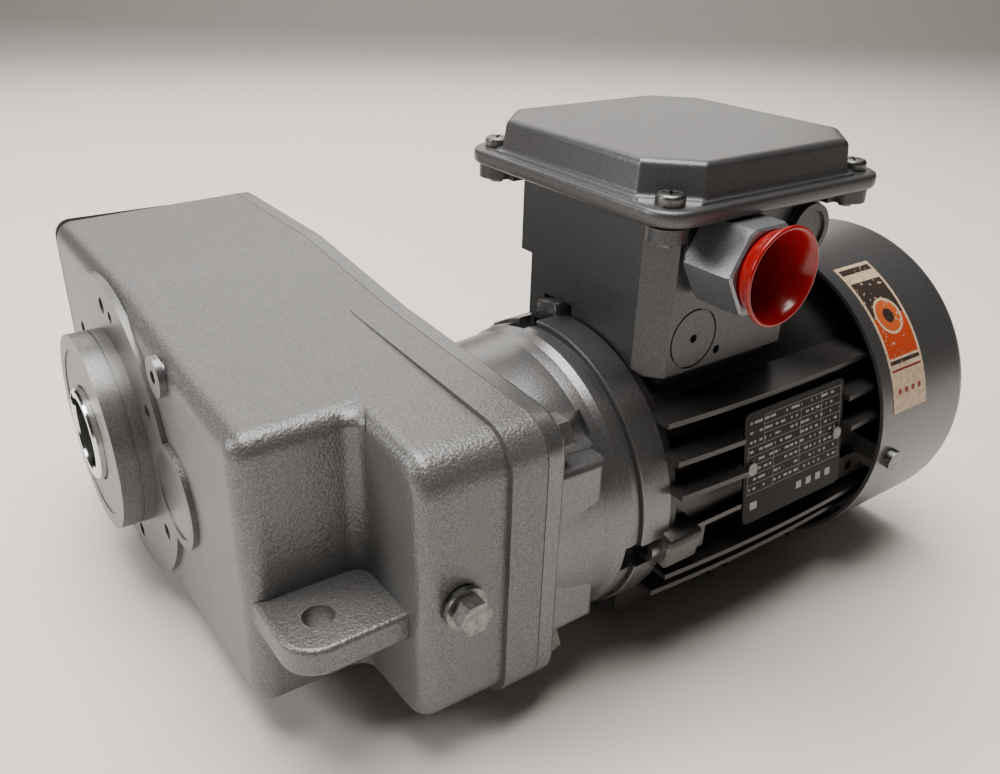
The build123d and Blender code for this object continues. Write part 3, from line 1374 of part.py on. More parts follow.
def grille_row(radius):
    """One ring of arc slots, with ribs left between them."""
    ring = tube(
        COVER_END_X - COVER_SHEET - 1, COVER_END_X + 1, radius + GRILLE_WIDTH, radius - GRILLE_WIDTH + 1, MOTOR_Y
    )
    for number in range(GRILLE_SLOTS // 2):
        rib = block(
            COVER_END_X - 5, COVER_END_X + 2, -radius - 10, radius + 10, -GRILLE_RIB / 2, GRILLE_RIB / 2
        )
        ring -= Pos(0, MOTOR_Y, 0) * Rot(number * 360 / GRILLE_SLOTS, 0, 0) * rib
    return ring


def cover_screw_hole():
    face = Plane(origin=(COVER_SCREW_X, COVER_RADIUS + 1, 0), z_dir=(0, -1, 0))
    return extrude(face * Circle(COVER_SCREW_RADIUS), COVER_SCREW_LENGTH + 2)


def cover_screws():
    """Screws set radially through the cover into the frame's ears."""
    screws = []
    for angle in COVER_SCREW_ANGLES:
        face = Plane(origin=(COVER_SCREW_X, COVER_RADIUS, 0), z_dir=(0, 1, 0))
        screw = extrude(face * Circle(COVER_SCREW_HEAD), COVER_SCREW_HEAD_HEIGHT)
        screw += extrude(face * Circle(COVER_SCREW_RADIUS), -COVER_SCREW_LENGTH)
        screws.append(around_motor(screw, angle))
    return Compound(children=screws)


# Nameplate and plugs

def nameplate():
    plan = Rectangle(PLATE_LENGTH, PLATE_HEIGHT)
    plan = fillet(plan.vertices(), 3)
    plate = plate_frame() * extrude(plan, -PLATE_THICK)
    for x in (-RIVET_PITCH / 2, RIVET_PITCH / 2):
        plate -= plate_frame() * Pos(x, 0, 0) * Cylinder(RIVET_RADIUS, 4)
    return plate


def nameplate_rivets():
    rivets = []
    for x in (-RIVET_PITCH / 2, RIVET_PITCH / 2):
        rivet = extrude(Circle(RIVET_HEAD), 1.0) + extrude(Circle(RIVET_RADIUS), -RIVET_LENGTH)
        rivets.append(plate_frame() * Pos(x, 0, 0) * rivet)
    return Compound(children=rivets)


def side_plug_plane(offset_y):
    return Plane(origin=(SIDE_PLUG_X, offset_y, SIDE_PLUG_Z), x_dir=(1, 0, 0), z_dir=(0, -1, 0))


def side_plug_seat_y():
    """Spot face for the plug, just under the drafted end face of the case."""
    lean = (JOINT_X - SIDE_PLUG_X + SPOT_RADIUS) * math.tan(math.radians(DRAFT))
    return NEAR_Y + lean + SPOT_DEPTH


def side_plug():
    seat = side_plug_seat_y()
    plug = extrude(side_plug_plane(seat - 1.5) * Circle(SIDE_PLUG_FLANGE), 2)
    plug += extrude(side_plug_plane(seat - 3.5) * hexagon(SIDE_PLUG_HEX), 6)
    plug += extrude(side_plug_plane(seat - 1.5) * Circle(SIDE_PLUG_THREAD), -8)
    return plug


def side_plug_washer():
    seat = side_plug_seat_y()
    return extrude(side_plug_plane(seat) * (Circle(SIDE_PLUG_FLANGE - 0.5) - Circle(SIDE_PLUG_THREAD)), 1.5)


def front_plug():
    """Flanged plug with a hexagon socket, in the front wall."""
    y, z = FRONT_PLUG_Y, FRONT_PLUG_Z
    head_x = CASE_FRONT_X - FRONT_PLUG_THICK
    plug = rod(head_x, CASE_FRONT_X, FRONT_PLUG_FLANGE, y, z)
    plug += rod(head_x, CASE_FRONT_X + FRONT_WALL, FRONT_PLUG_THREAD, y, z)
    return plug - extrude(facing_x(head_x - 1, y, z) * hexagon(FRONT_PLUG_THREAD), 4)


def closing_cap():
    """Steel cap pressed into the intermediate shaft's bore."""
    x0 = INTER_CAP_DEPTH
    cap = rod(x0, x0 + INTER_CAP, SMALL_BEARING[1], INTER_Y)
    return cap - rod(x0 + 1.5, x0 + INTER_CAP + 1, SMALL_BEARING[1] - 2, INTER_Y)


save("gear_case", gear_case())
save("case_gasket", case_gasket())
save("gear_cover", gear_cover())
save("cover_bolts", cover_bolts())
save("closing_cap", closing_cap())
save("side_plug", side_plug())
save("side_plug_washer", side_plug_washer())
save("front_plug", front_plug())
bearing_set("output_bearing", (FRONT_BEARING_X, REAR_BEARING_OUT_X), OUTPUT_BEARING, 0)
bearing_set("intermediate_bearing", (INTER_BEARING_X, INTER_REAR_X), SMALL_BEARING, INTER_Y)
bearing_set("motor_bearing", (DRIVE_BEARING_X, REAR_BEARING_X), SMALL_BEARING, MOTOR_Y)
save("output_seal_front", lip_seal(FRONT_SEAL_X, SEAL_WIDTH, SEAL_OUTER, OUTPUT_BEARING[0], 0, False))
save("output_seal_rear", lip_seal(REAR_SEAL_X, SEAL_WIDTH, SEAL_OUTER, OUTPUT_BEARING[0], 0, True))
save("motor_seal", lip_seal(MOTOR_SEAL_X, SEAL_WIDTH, MOTOR_SEAL_OUTER, SMALL_BEARING[0], MOTOR_Y, False))
save("hollow_shaft", hollow_shaft())
save("output_gear", output_gear())
save("output_gear_key", gear_key())
save("output_distance_ring", gear_ring())
save("output_spacer_sleeve", spacer_sleeve())
save("pinion_shaft", pinion_shaft())
save("intermediate_gear", intermediate_gear())
save("intermediate_key", inter_key())
save("motor_shaft", motor_shaft())
save("input_pinion", input_pinion())
save("rotor_core", rotor_core())
save("fan", fan())
save("fan_clip", fan_clip())
save("stator_frame", stator_frame())
save("stator_core", stator_core())
save("windings", windings())
save("motor_screws", tie_screws())
save("terminal_box_base", terminal_box_base())
save("box_gasket", box_gasket())
save("box_screws", box_screws())
save("lid_gasket", lid_gasket())
save("terminal_box_lid", terminal_box_lid())
save("lid_screws", lid_screws())
save("terminal_board", terminal_board())
save("terminal_studs", terminal_studs())
save("terminal_links", terminal_links())
save("cable_adaptor", cable_adaptor())
save("adaptor_seal", adaptor_seal())
save("transit_plug", transit_plug())
save("blank_plug", blank_plug())
save("rear_end_shield", rear_end_shield())
save("shield_screws", shield_screws())
save("wave_spring", wave_spring())
save("fan_cover", fan_cover())
save("fan_cover_screws", cover_screws())
save("nameplate", nameplate())
save("nameplate_rivets", nameplate_rivets())
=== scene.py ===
import bpy
import math
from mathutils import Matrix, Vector


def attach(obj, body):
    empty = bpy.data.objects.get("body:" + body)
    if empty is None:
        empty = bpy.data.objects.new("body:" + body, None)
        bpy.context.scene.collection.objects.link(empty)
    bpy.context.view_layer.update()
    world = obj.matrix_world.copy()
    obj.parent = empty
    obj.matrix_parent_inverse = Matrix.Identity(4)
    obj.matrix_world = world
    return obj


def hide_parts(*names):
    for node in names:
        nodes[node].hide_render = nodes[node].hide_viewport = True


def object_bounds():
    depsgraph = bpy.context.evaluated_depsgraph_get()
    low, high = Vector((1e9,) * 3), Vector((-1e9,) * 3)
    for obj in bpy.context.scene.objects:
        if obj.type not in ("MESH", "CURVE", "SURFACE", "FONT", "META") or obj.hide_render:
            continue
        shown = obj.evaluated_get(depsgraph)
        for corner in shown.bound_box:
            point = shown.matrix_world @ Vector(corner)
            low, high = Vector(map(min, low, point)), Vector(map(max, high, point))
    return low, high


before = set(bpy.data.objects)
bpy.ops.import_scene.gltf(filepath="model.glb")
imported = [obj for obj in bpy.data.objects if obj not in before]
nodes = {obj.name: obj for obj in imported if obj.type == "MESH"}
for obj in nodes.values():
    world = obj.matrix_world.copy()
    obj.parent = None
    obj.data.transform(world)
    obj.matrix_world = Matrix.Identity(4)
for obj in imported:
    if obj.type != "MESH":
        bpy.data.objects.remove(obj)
start_box = [list(corner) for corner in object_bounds()]
drive_floor = start_box[0][2]

# The camera stands off the corner between the output face and the near end of the case,
# about 320 mm from the torque arm lug, and looks down, as the photograph was taken.
camera_place = (-0.07208, -0.37135, 0.19872)
camera_turn = (62.861, -1.557, -35.533)
camera_data = bpy.data.cameras.new("camera")
camera_data.lens = 32.97
camera_data.sensor_width = 36
camera_data.clip_start = 0.01
camera = bpy.data.objects.new("camera", camera_data)
camera.location = camera_place
camera.rotation_euler = [math.radians(angle) for angle in camera_turn]
bpy.context.scene.collection.objects.link(camera)
bpy.context.scene.camera = camera


# Paper sweep: one wide roll of white paper that lies flat under the drive and curves up
# into a wall behind it.
paper_half_width = 4.0
paper_front = -3.5
paper_bend_start = 2.2
paper_bend = 0.9
paper_height = 3.2
bend_steps = 16
paper_colour = (0.88, 0.835, 0.785, 1)
paper_roughness = 0.75

paper_line = [(paper_front, 0.0), (paper_bend_start, 0.0)]
for step in range(1, bend_steps + 1):
    angle = math.radians(90 * step / bend_steps)
    along = paper_bend_start + paper_bend * math.sin(angle)
    paper_line.append((along, paper_bend * (1 - math.cos(angle))))
paper_line.append((paper_bend_start + paper_bend, paper_height))
paper_points = []
for along, up in paper_line:
    paper_points += [(-paper_half_width, along, up), (paper_half_width, along, up)]
paper_faces = [(2 * i, 2 * i + 1, 2 * i + 3, 2 * i + 2) for i in range(len(paper_line) - 1)]
paper_mesh = bpy.data.meshes.new("paper sweep")
paper_mesh.from_pydata(paper_points, [], paper_faces)
paper_mesh.shade_smooth()
paper = bpy.data.materials.new("white paper")
paper.use_nodes = True
paper_shader = paper.node_tree.nodes["Principled BSDF"]
paper_shader.inputs["Base Color"].default_value = paper_colour
paper_shader.inputs["Roughness"].default_value = paper_roughness
paper_mesh.materials.append(paper)
paper_sweep = bpy.data.objects.new("paper_sweep", paper_mesh)
paper_sweep.location = (0.0, 0.0, drive_floor)
paper_sweep.rotation_euler = (0, 0, math.radians(camera_turn[2]))
bpy.context.scene.collection.objects.link(paper_sweep)


# Studio light: a wide window behind the drive that the upper faces reflect, a soft
# ceiling, and a weaker window at the output end. The camera's side stays dark: the room
# beyond the paper looks pale, but gives little light.
drive_middle = Vector((0.12, -0.08, 0.0))
warm_white = (1.0, 0.955, 0.915)
cool_white = (1.0, 0.98, 0.96)
room_colour = (0.86, 0.80, 0.76, 1)
room_light = 0.05
room_seen = 0.62


def soft_light(name, place, size, power, colour):
    """Flat studio light at place, facing the drive."""
    data = bpy.data.lights.new(name, "AREA")
    data.shape = "RECTANGLE"
    data.size, data.size_y = size
    data.energy = power
    data.color = colour
    light = bpy.data.objects.new(name, data)
    light.location = place
    light.rotation_euler = (drive_middle - Vector(place)).to_track_quat("-Z", "Y").to_euler()
    bpy.context.scene.collection.objects.link(light)


soft_light("back_window", place=(0.62, 1.05, 0.78), size=(2.0, 0.8), power=10.5, colour=warm_white)
soft_light("ceiling", place=(0.05, 0.08, 1.7), size=(1.3, 1.3), power=57, colour=warm_white)
soft_light("left_window", place=(-1.15, 0.45, 0.72), size=(0.35, 0.45), power=9, colour=cool_white)
room = bpy.data.worlds.new("room")
room.use_nodes = True
room_back = room.node_tree.nodes["Background"]
room_back.inputs["Color"].default_value = room_colour
room_ray = room.node_tree.nodes.new("ShaderNodeLightPath")
room_strength = room.node_tree.nodes.new("ShaderNodeMath")
room_strength.operation = "MULTIPLY_ADD"
room_strength.inputs[1].default_value = room_seen
room_strength.inputs[2].default_value = room_light
room.node_tree.links.new(room_ray.outputs["Is Camera Ray"], room_strength.inputs[0])
room.node_tree.links.new(room_strength.outputs["Value"], room_back.inputs["Strength"])
bpy.context.scene.world = room


# Gear case: a sand-cast iron box, open towards the motor, sprayed with silver hammer
# paint. The output pad and boss are machined before painting, so they are smoother.
def number(tree, operation, *values):
    """Math node on sockets or numbers, giving its result."""
    node = tree.nodes.new("ShaderNodeMath")
    node.operation = operation
    for socket, value in zip(node.inputs, values):
        if isinstance(value, (int, float)):
            socket.default_value = value
        else:
            tree.links.new(value, socket)
    return node.outputs[0]


def distance(tree, across, up):
    """Distance from a line, given how far a point lies across from it and above it."""
    squares = number(tree, "ADD", number(tree, "MULTIPLY", across, across),
                     number(tree, "MULTIPLY", up, up))
    return number(tree, "SQRT", squares)


def new_group(name, inputs, outputs):
    """Empty shader node group with its ends in place, and where the surface is."""
    group = bpy.data.node_groups.new(name, "ShaderNodeTree")
    for label in inputs:
        group.interface.new_socket(name=label, in_out="INPUT", socket_type="NodeSocketFloat")
    for label in outputs:
        group.interface.new_socket(name=label, in_out="OUTPUT", socket_type="NodeSocketFloat")
    start = group.nodes.new("NodeGroupInput")
    end = group.nodes.new("NodeGroupOutput")
    place = group.nodes.new("ShaderNodeTexCoord")
    return group, start, end, place.outputs["Object"]


def noise(tree, vector, scale, detail=2.0):
    """Noise texture on a vector, its scale a number or a socket."""
    node = tree.nodes.new("ShaderNodeTexNoise")
    node.inputs["Detail"].default_value = detail
    tree.links.new(vector, node.inputs["Vector"])
    if isinstance(scale, (int, float)):
        node.inputs["Scale"].default_value = scale
    else:
        tree.links.new(scale, node.inputs["Scale"])
    return node.outputs["Fac"]


# One skin for all castings: fine grain of the paint, slow waves of the casting under it,
# bright and dark flakes, and a few pits where sand was left in the mould.
skin_wave_scale = 70.0
skin_fleck_scale = 1900.0
pit_place_scale = 95.0
pit_width = 0.055
pit_depth = 0.4


def cast_skin_group():
    """Node group of the casting's relief, the paint's flakes and the pits."""
    labels_in = ("Grain Scale", "Grain Depth", "Wave Depth", "Pits")
    group, start, end, place = new_group("cast skin", labels_in, ("Height", "Fleck", "Pit"))
    grain = number(group, "MULTIPLY", noise(group, place, start.outputs["Grain Scale"]),
                   start.outputs["Grain Depth"])
    waves = number(group, "MULTIPLY", noise(group, place, skin_wave_scale, detail=1.0),
                   start.outputs["Wave Depth"])
    cells = group.nodes.new("ShaderNodeTexVoronoi")
    cells.inputs["Scale"].default_value = pit_place_scale
    group.links.new(place, cells.inputs["Vector"])
    split = group.nodes.new("ShaderNodeSeparateColor")
    group.links.new(cells.outputs["Color"], split.inputs["Color"])
    chosen = number(group, "LESS_THAN", split.outputs["Red"], start.outputs["Pits"])
    close = number(group, "LESS_THAN", cells.outputs["Distance"], pit_width)
    pit = number(group, "MULTIPLY", chosen, close)
    height = number(group, "SUBTRACT", number(group, "ADD", grain, waves),
                    number(group, "MULTIPLY", pit, pit_depth))
    group.links.new(height, end.inputs["Height"])
    flakes = noise(group, place, skin_fleck_scale, detail=1.0)
    group.links.new(flakes, end.inputs["Fleck"])
    group.links.new(pit, end.inputs["Pit"])
    return group


# Smoothness of the parts of a casting that were turned: all that lies inside a radius
# about a shaft line and in front of a face is machined, and the rest is as cast.
def turned_area_group():
    """Node group that is one where a casting is left as cast, and nought where turned."""
    labels_in = ("Shaft Y", "Radius", "Face X")
    group, start, end, place = new_group("turned area", labels_in, ("As Cast",))
    axes = group.nodes.new("ShaderNodeSeparateXYZ")
    group.links.new(place, axes.inputs["Vector"])
    across = number(group, "SUBTRACT", axes.outputs["Y"], start.outputs["Shaft Y"])
    from_shaft = distance(group, across, axes.outputs["Z"])
    outside = number(group, "GREATER_THAN", from_shaft, start.outputs["Radius"])
    behind = number(group, "GREATER_THAN", axes.outputs["X"], start.outputs["Face X"])
    group.links.new(number(group, "MAXIMUM", outside, behind), end.inputs["As Cast"])
    return group


cast_skin = cast_skin_group()
turned_area = turned_area_group()


def place_group(tree, group, **values):
    """Puts a node group in a material, its inputs set from the names given."""
    node = tree.nodes.new("ShaderNodeGroup")
    node.node_tree = group
    for label, value in values.items():
        node.inputs[label.replace("_", " ")].default_value = value
    return node


def new_material(name, roughness, metallic=0.0, coat=0.0):
    """Material with the values that are the same all over, and its tree and shader."""
    material = bpy.data.materials.new(name)
    material.use_nodes = True
    shader = material.node_tree.nodes["Principled BSDF"]
    shader.inputs["Roughness"].default_value = roughness
    shader.inputs["Metallic"].default_value = metallic
    shader.inputs["Coat Weight"].default_value = coat
    return material, material.node_tree, shader


def two_colours(tree, mask, low, low_colour, high, high_colour):
    """Colour ramp between two colours, at two places of a mask."""
    ramp = tree.nodes.new("ShaderNodeValToRGB")
    ramp.color_ramp.elements[0].position = low
    ramp.color_ramp.elements[0].color = (*low_colour, 1)
    ramp.color_ramp.elements[1].position = high
    ramp.color_ramp.elements[1].color = (*high_colour, 1)
    tree.links.new(mask, ramp.inputs["Fac"])
    return ramp.outputs["Color"]


def relief(tree, shader, height, depth):
    """Bump of the given depth in metres on a shader."""
    bump = tree.nodes.new("ShaderNodeBump")
    bump.inputs["Distance"].default_value = depth
    tree.links.new(height, bump.inputs["Height"])
    tree.links.new(bump.outputs["Normal"], shader.inputs["Normal"])


casting_relief = 0.001
turned_grain = 0.12


def casting_paint(name, dark, bright, roughness, metallic, grain, turned=None):
    """Paint over a casting; grain gives the skin's values, turned a machined area."""
    material, tree, shader = new_material(name, roughness, metallic)
    skin = place_group(tree, cast_skin, **grain)
    height = skin.outputs["Height"]
    if turned:
        area = place_group(tree, turned_area, **turned)
        kept = number(tree, "MULTIPLY_ADD", area.outputs["As Cast"], 1 - turned_grain, turned_grain)
        height = number(tree, "MULTIPLY", height, kept)
    relief(tree, shader, height, casting_relief)
    # The pits take the dark colour: painted shade in the hollows, over the random flakes.
    flecks_and_pit_shade = number(tree, "SUBTRACT", skin.outputs["Fleck"], skin.outputs["Pit"])
    colour = two_colours(tree, flecks_and_pit_shade, low=0.33, low_colour=dark, high=0.70, high_colour=bright)
    tree.links.new(colour, shader.inputs["Base Color"])
    return material


def finish(material, *names):
    """Gives CAD nodes a material on all their faces."""
    for name in names:
        piece = nodes[name]
        if not piece.material_slots:
            piece.data.materials.append(material)
        for slot in piece.material_slots:
            slot.link = "OBJECT"
            slot.material = material


case_paint = casting_paint(
    "silver hammer paint", dark=(0.115, 0.116, 0.118), bright=(0.225, 0.222, 0.217),
    roughness=0.36, metallic=0.50,
    grain={"Grain_Scale": 950.0, "Grain_Depth": 0.27, "Wave_Depth": 0.28, "Pits": 0.035},
    turned={"Shaft_Y": 0.0, "Radius": 0.0662, "Face_X": 0.0022},
)
finish(case_paint, "gear_case")


# Corner of the case: the hollow rounding between the long front part and the step runs
# up the corner and turns over into the top face, as the pattern maker's fillet does.
def add_piece(name, points, faces, material, sharp=35):
    """Mesh piece, smooth but for edges sharper than the angle, riding on the housing."""
    mesh = bpy.data.meshes.new(name)
    mesh.from_pydata(points, [], faces)
    mesh.validate()
    mesh.shade_smooth()
    mesh.set_sharp_from_angle(angle=math.radians(sharp))
    mesh.materials.append(material)
    piece = bpy.data.objects.new(name, mesh)
    bpy.context.scene.collection.objects.link(piece)
    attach(piece, "housing")
    return piece


def loft(rings):
    """Closed skin through rings of points, all of one count, capped at both ends."""
    count = len(rings[0])
    points = [point for ring in rings for point in ring]
    faces = [tuple(reversed(range(count)))]
    for row in range(len(rings) - 1):
        first = row * count
        for i in range(count):
            j = (i + 1) % count
            faces.append((first + i, first + j, first + count + j, first + count + i))
    last = (len(rings) - 1) * count
    faces.append(tuple(range(last, last + count)))
    return points, faces


fillet_bottom, fillet_top = 0.0502, 0.0555
fillet_corner_x, fillet_corner_y = 0.0443, -0.1348
fillet_radius = 0.0060
fillet_turn_x, fillet_turn_y = 0.0045, 0.0080
fillet_back = 0.0015
fillet_levels, fillet_arc = 8, 8

fillet_rings = []
for level in range(fillet_levels + 1):
    share = math.sin(math.radians(90 * level / fillet_levels))
    height = fillet_bottom + (fillet_top - fillet_bottom) * share
    turned_over = 1 - math.sqrt(1 - share * share)
    wall_x = fillet_corner_x + fillet_turn_x * turned_over
    wall_y = fillet_corner_y + fillet_turn_y * turned_over
    ring = [(wall_x + fillet_back, wall_y + fillet_back, height)]
    for step in range(fillet_arc + 1):
        angle = math.radians(90 * step / fillet_arc)
        ring.append((
            wall_x - fillet_radius + fillet_radius * math.sin(angle),
            wall_y - fillet_radius + fillet_radius * math.cos(angle),
            height,
        ))
    fillet_rings.append(list(reversed(ring)))
corner_fillet = add_piece("corner_fillet", *loft(fillet_rings), case_paint)


# Closing cap: a cup pressed from sheet steel and driven into the bore of the intermediate
# bearing, then sprayed with the case. The sheet is smooth, so the paint has little grain.
cap_paint = casting_paint(
    "paint on the closing cap", dark=(0.16, 0.16, 0.162), bright=(0.25, 0.25, 0.248),
    roughness=0.34, metallic=0.75,
    grain={"Grain_Scale": 700.0, "Grain_Depth": 0.03, "Wave_Depth": 0.1, "Pits": 0.0},
)
finish(cap_paint, "closing_cap")


# Cover with the motor bell: a second iron casting, bolted to the case over a gasket and
# painted with it. The bell is turned, so its grain is finer and its gloss higher.
bell_paint = casting_paint(
    "silver paint on the cover", dark=(0.14, 0.142, 0.145), bright=(0.235, 0.233, 0.23),
    roughness=0.29, metallic=0.72,
    grain={"Grain_Scale": 1300.0, "Grain_Depth": 0.06, "Wave_Depth": 0.16, "Pits": 0.01},
)
finish(bell_paint, "gear_cover")


# Gaskets: thin sheets cut from pressed fibre, laid dry between the case and its cover,
# under the terminal box and under its lid, and held by the screws.
soft_relief = 0.00008
soft_gain, soft_least = 1.6, 0.004


def soft_sheet(name, colour, roughness, grain):
    """Fibre, rubber or plastic with a fine uneven surface and colour."""
    material, tree, shader = new_material(name, roughness)
    place = tree.nodes.new("ShaderNodeTexCoord").outputs["Object"]
    mask = noise(tree, place, grain)
    lighter = tuple(channel * soft_gain + soft_least for channel in colour)
    cloud = two_colours(tree, mask, low=0.35, low_colour=colour, high=0.75, high_colour=lighter)
    tree.links.new(cloud, shader.inputs["Base Color"])
    relief(tree, shader, mask, soft_relief)
    return material


fibre = soft_sheet("pressed fibre", colour=(0.045, 0.044, 0.042), roughness=0.75, grain=900.0)
finish(fibre, "case_gasket", "box_gasket", "lid_gasket")


# Hexagon bolts and washers that hold the cover, and the plug on the near end: forged
# steel, zinc plated. The plug takes a darker copy of the zinc: painted shade for the near end.
plating_grain = 2600.0
plating_relief = 0.00004


def plated_steel(name, dark, bright, roughness, grain=420.0):
    """Plated or plain metal with a slightly uneven colour and surface."""
    material, tree, shader = new_material(name, roughness, metallic=1.0)
    place = tree.nodes.new("ShaderNodeTexCoord").outputs["Object"]
    mask = noise(tree, place, grain, detail=3.0)
    colour = two_colours(tree, mask, low=0.35, low_colour=dark, high=0.68, high_colour=bright)
    tree.links.new(colour, shader.inputs["Base Color"])
    relief(tree, shader, noise(tree, place, plating_grain), plating_relief)
    return material


zinc = plated_steel(
    "zinc plate", dark=(0.42, 0.42, 0.40), bright=(0.60, 0.59, 0.56), roughness=0.34)
# Darker copy of the zinc: painted shade for the plug, its washer and the nameplate's rivets.
shaded_zinc = plated_steel(
    "zinc plate darkened as painted shade", dark=(0.17, 0.17, 0.165), bright=(0.30, 0.295, 0.285),
    roughness=0.40)
finish(zinc, "cover_bolts")
finish(shaded_zinc, "side_plug", "side_plug_washer")


# Front plug: a flanged steel plug with a hexagon socket, screwed into the case beside the
# boss and painted over with it.
finish(cap_paint, "front_plug")


# Output, intermediate and motor shafts with their gears, keys and spacers: steel, turned
# and ground, the output's bore honed bright. The lines of the tool run round each shaft.
wear_scale = 160.0


def tool_lines_group():
    """Node group of fine rings round a shaft line, and of cloudy wear over them."""
    group, start, end, place = new_group("tool lines", ("Shaft Y", "Lines"), ("Height", "Shade"))
    axes = group.nodes.new("ShaderNodeSeparateXYZ")
    group.links.new(place, axes.inputs["Vector"])
    across = number(group, "SUBTRACT", axes.outputs["Y"], start.outputs["Shaft Y"])
    lines = group.nodes.new("ShaderNodeCombineXYZ")
    group.links.new(axes.outputs["X"], lines.inputs["X"])
    group.links.new(distance(group, across, axes.outputs["Z"]), lines.inputs["Y"])
    rings = noise(group, lines.outputs["Vector"], start.outputs["Lines"], detail=3.0)
    group.links.new(rings, end.inputs["Height"])
    group.links.new(noise(group, place, wear_scale, detail=3.0), end.inputs["Shade"])
    return group


tool_lines = tool_lines_group()
lines_in_a_metre = 2200.0


def turned_steel(name, shaft_y, dark, bright, roughness, depth=0.00005):
    """Steel turned about a shaft line along X."""
    material, tree, shader = new_material(name, roughness, metallic=1.0)
    lines = place_group(tree, tool_lines, Shaft_Y=shaft_y, Lines=lines_in_a_metre)
    relief(tree, shader, lines.outputs["Height"], depth)
    shade = lines.outputs["Shade"]
    colour = two_colours(tree, shade, low=0.35, low_colour=dark, high=0.7, high_colour=bright)
    tree.links.new(colour, shader.inputs["Base Color"])
    return material


inter_y = -0.066
motor_y = -0.123
hobbed_dark, hobbed_bright = (0.42, 0.42, 0.42), (0.56, 0.56, 0.55)
bright_steel = turned_steel(
    "honed output shaft", 0.0, dark=(0.66, 0.67, 0.68), bright=(0.80, 0.80, 0.80),
    roughness=0.13, depth=0.00003)
gear_steel = turned_steel(
    "hobbed gear steel", 0.0, hobbed_dark, hobbed_bright, roughness=0.30)
inter_steel = turned_steel(
    "hobbed pinion steel", inter_y, hobbed_dark, hobbed_bright, roughness=0.30)
motor_steel = turned_steel(
    "turned motor shaft", motor_y, dark=(0.46, 0.46, 0.46), bright=(0.60, 0.60, 0.59),
    roughness=0.28)
finish(bright_steel, "hollow_shaft")
finish(gear_steel, "output_gear", "output_gear_key", "output_distance_ring", "output_spacer_sleeve")
finish(inter_steel, "pinion_shaft", "intermediate_gear", "intermediate_key")
finish(motor_steel, "motor_shaft", "input_pinion", "fan_clip", "wave_spring")


# Ball bearings: rings and balls of hardened steel, ground and polished, two on each
# shaft. The inner rings are pressed on the shafts and the outer rings sit in the castings.
for line, shaft_y in (("output", 0.0), ("intermediate", inter_y), ("motor", motor_y)):
    race = turned_steel(
        "ground races, " + line, shaft_y, dark=(0.60, 0.60, 0.61), bright=(0.72, 0.72, 0.72),
        roughness=0.16, depth=0.00002)
    for part in ("outer_rings", "inner_rings", "balls"):
        finish(race, line + "_bearing_" + part)


# Shaft seals: the front one is a steel-cased seal sprayed with the case, the others are
# moulded in plain black rubber. All are pushed into their bores.
seal_paint = soft_sheet("paint on the front seal", colour=(0.20, 0.19, 0.175), roughness=0.45, grain=700.0)
rubber = soft_sheet("black rubber", colour=(0.014, 0.014, 0.014), roughness=0.55, grain=1200.0)
finish(seal_paint, "output_seal_front")
finish(rubber, "output_seal_rear", "motor_seal", "adaptor_seal")


# Motor frame and rear shield: die-cast aluminium in satin charcoal paint, with fins, foot
# pads and screw blocks. The foot pads' faces are milled through the paint.
foot_face_y = -0.1820
foot_low, foot_high = -0.0196, -0.0079
milled_metal = (0.115, 0.109, 0.101)


def between(tree, value, low, high):
    """One where a value lies between two others."""
    return number(tree, "MULTIPLY", number(tree, "GREATER_THAN", value, low),
                  number(tree, "LESS_THAN", value, high))


def laid_over(tree, under, mask, colour):
    """Lays a plain colour over another where the mask is one."""
    mix = tree.nodes.new("ShaderNodeMix")
    mix.data_type = "RGBA"
    tree.links.new(mask, mix.inputs["Factor"])
    tree.links.new(under, mix.inputs["A"])
    mix.inputs["B"].default_value = (*colour, 1)
    return mix.outputs["Result"]


frame_paint = casting_paint(
    "charcoal frame paint", dark=(0.040, 0.038, 0.037), bright=(0.070, 0.067, 0.065),
    roughness=0.36, metallic=0.45,
    grain={"Grain_Scale": 1300.0, "Grain_Depth": 0.10, "Wave_Depth": 0.12, "Pits": 0.0},
)
frame_tree = frame_paint.node_tree
frame_shader = frame_tree.nodes["Principled BSDF"]
frame_place = frame_tree.nodes.new("ShaderNodeTexCoord").outputs["Object"]
frame_axes = frame_tree.nodes.new("ShaderNodeSeparateXYZ")
frame_tree.links.new(frame_place, frame_axes.inputs["Vector"])
on_the_face = number(frame_tree, "LESS_THAN", frame_axes.outputs["Y"], foot_face_y)
milled = number(frame_tree, "MULTIPLY", on_the_face,
                between(frame_tree, frame_axes.outputs["Z"], foot_low, foot_high))
painted_colour = frame_shader.inputs["Base Color"].links[0].from_socket
frame_colour = laid_over(frame_tree, painted_colour, milled, milled_metal)
frame_tree.links.new(frame_colour, frame_shader.inputs["Base Color"])
finish(frame_paint, "stator_frame", "rear_end_shield")


# Lugs under the frame: four small cast blocks on the outer lower fin, where a mounting
# foot can be screwed on.
lug_places = (0.2015, 0.2120, 0.2555, 0.2660)
lug_length = 0.0042
lug_edge = 0.0006
lug_low, lug_high = -0.0632, -0.0570
lug_near, lug_far = -0.1640, -0.1574


def rounded_block(x0, x1, y0, y1, z0, z1, edge):
    """Points and faces of a block with its four upright edges and its lower rim cut."""
    plan = [
        (x0 + edge, y0), (x1 - edge, y0), (x1, y0 + edge), (x1, y1 - edge),
        (x1 - edge, y1), (x0 + edge, y1), (x0, y1 - edge), (x0, y0 + edge),
    ]
    middle_x, middle_y = (x0 + x1) / 2, (y0 + y1) / 2
    share = 1 - 2 * edge / (x1 - x0)
    low = [(middle_x + (x - middle_x) * share, middle_y + (y - middle_y) * share, z0) for x, y in plan]
    side = [(x, y, z0 + edge) for x, y in plan]
    top = [(x, y, z1) for x, y in plan]
    return loft([low, side, top])


for index, lug_x in enumerate(lug_places):
    lug_points, lug_faces = rounded_block(
        lug_x, lug_x + lug_length, lug_near, lug_far, lug_low, lug_high, lug_edge)
    lug = add_piece("frame_lug_%d" % (index + 1), lug_points, lug_faces, frame_paint)


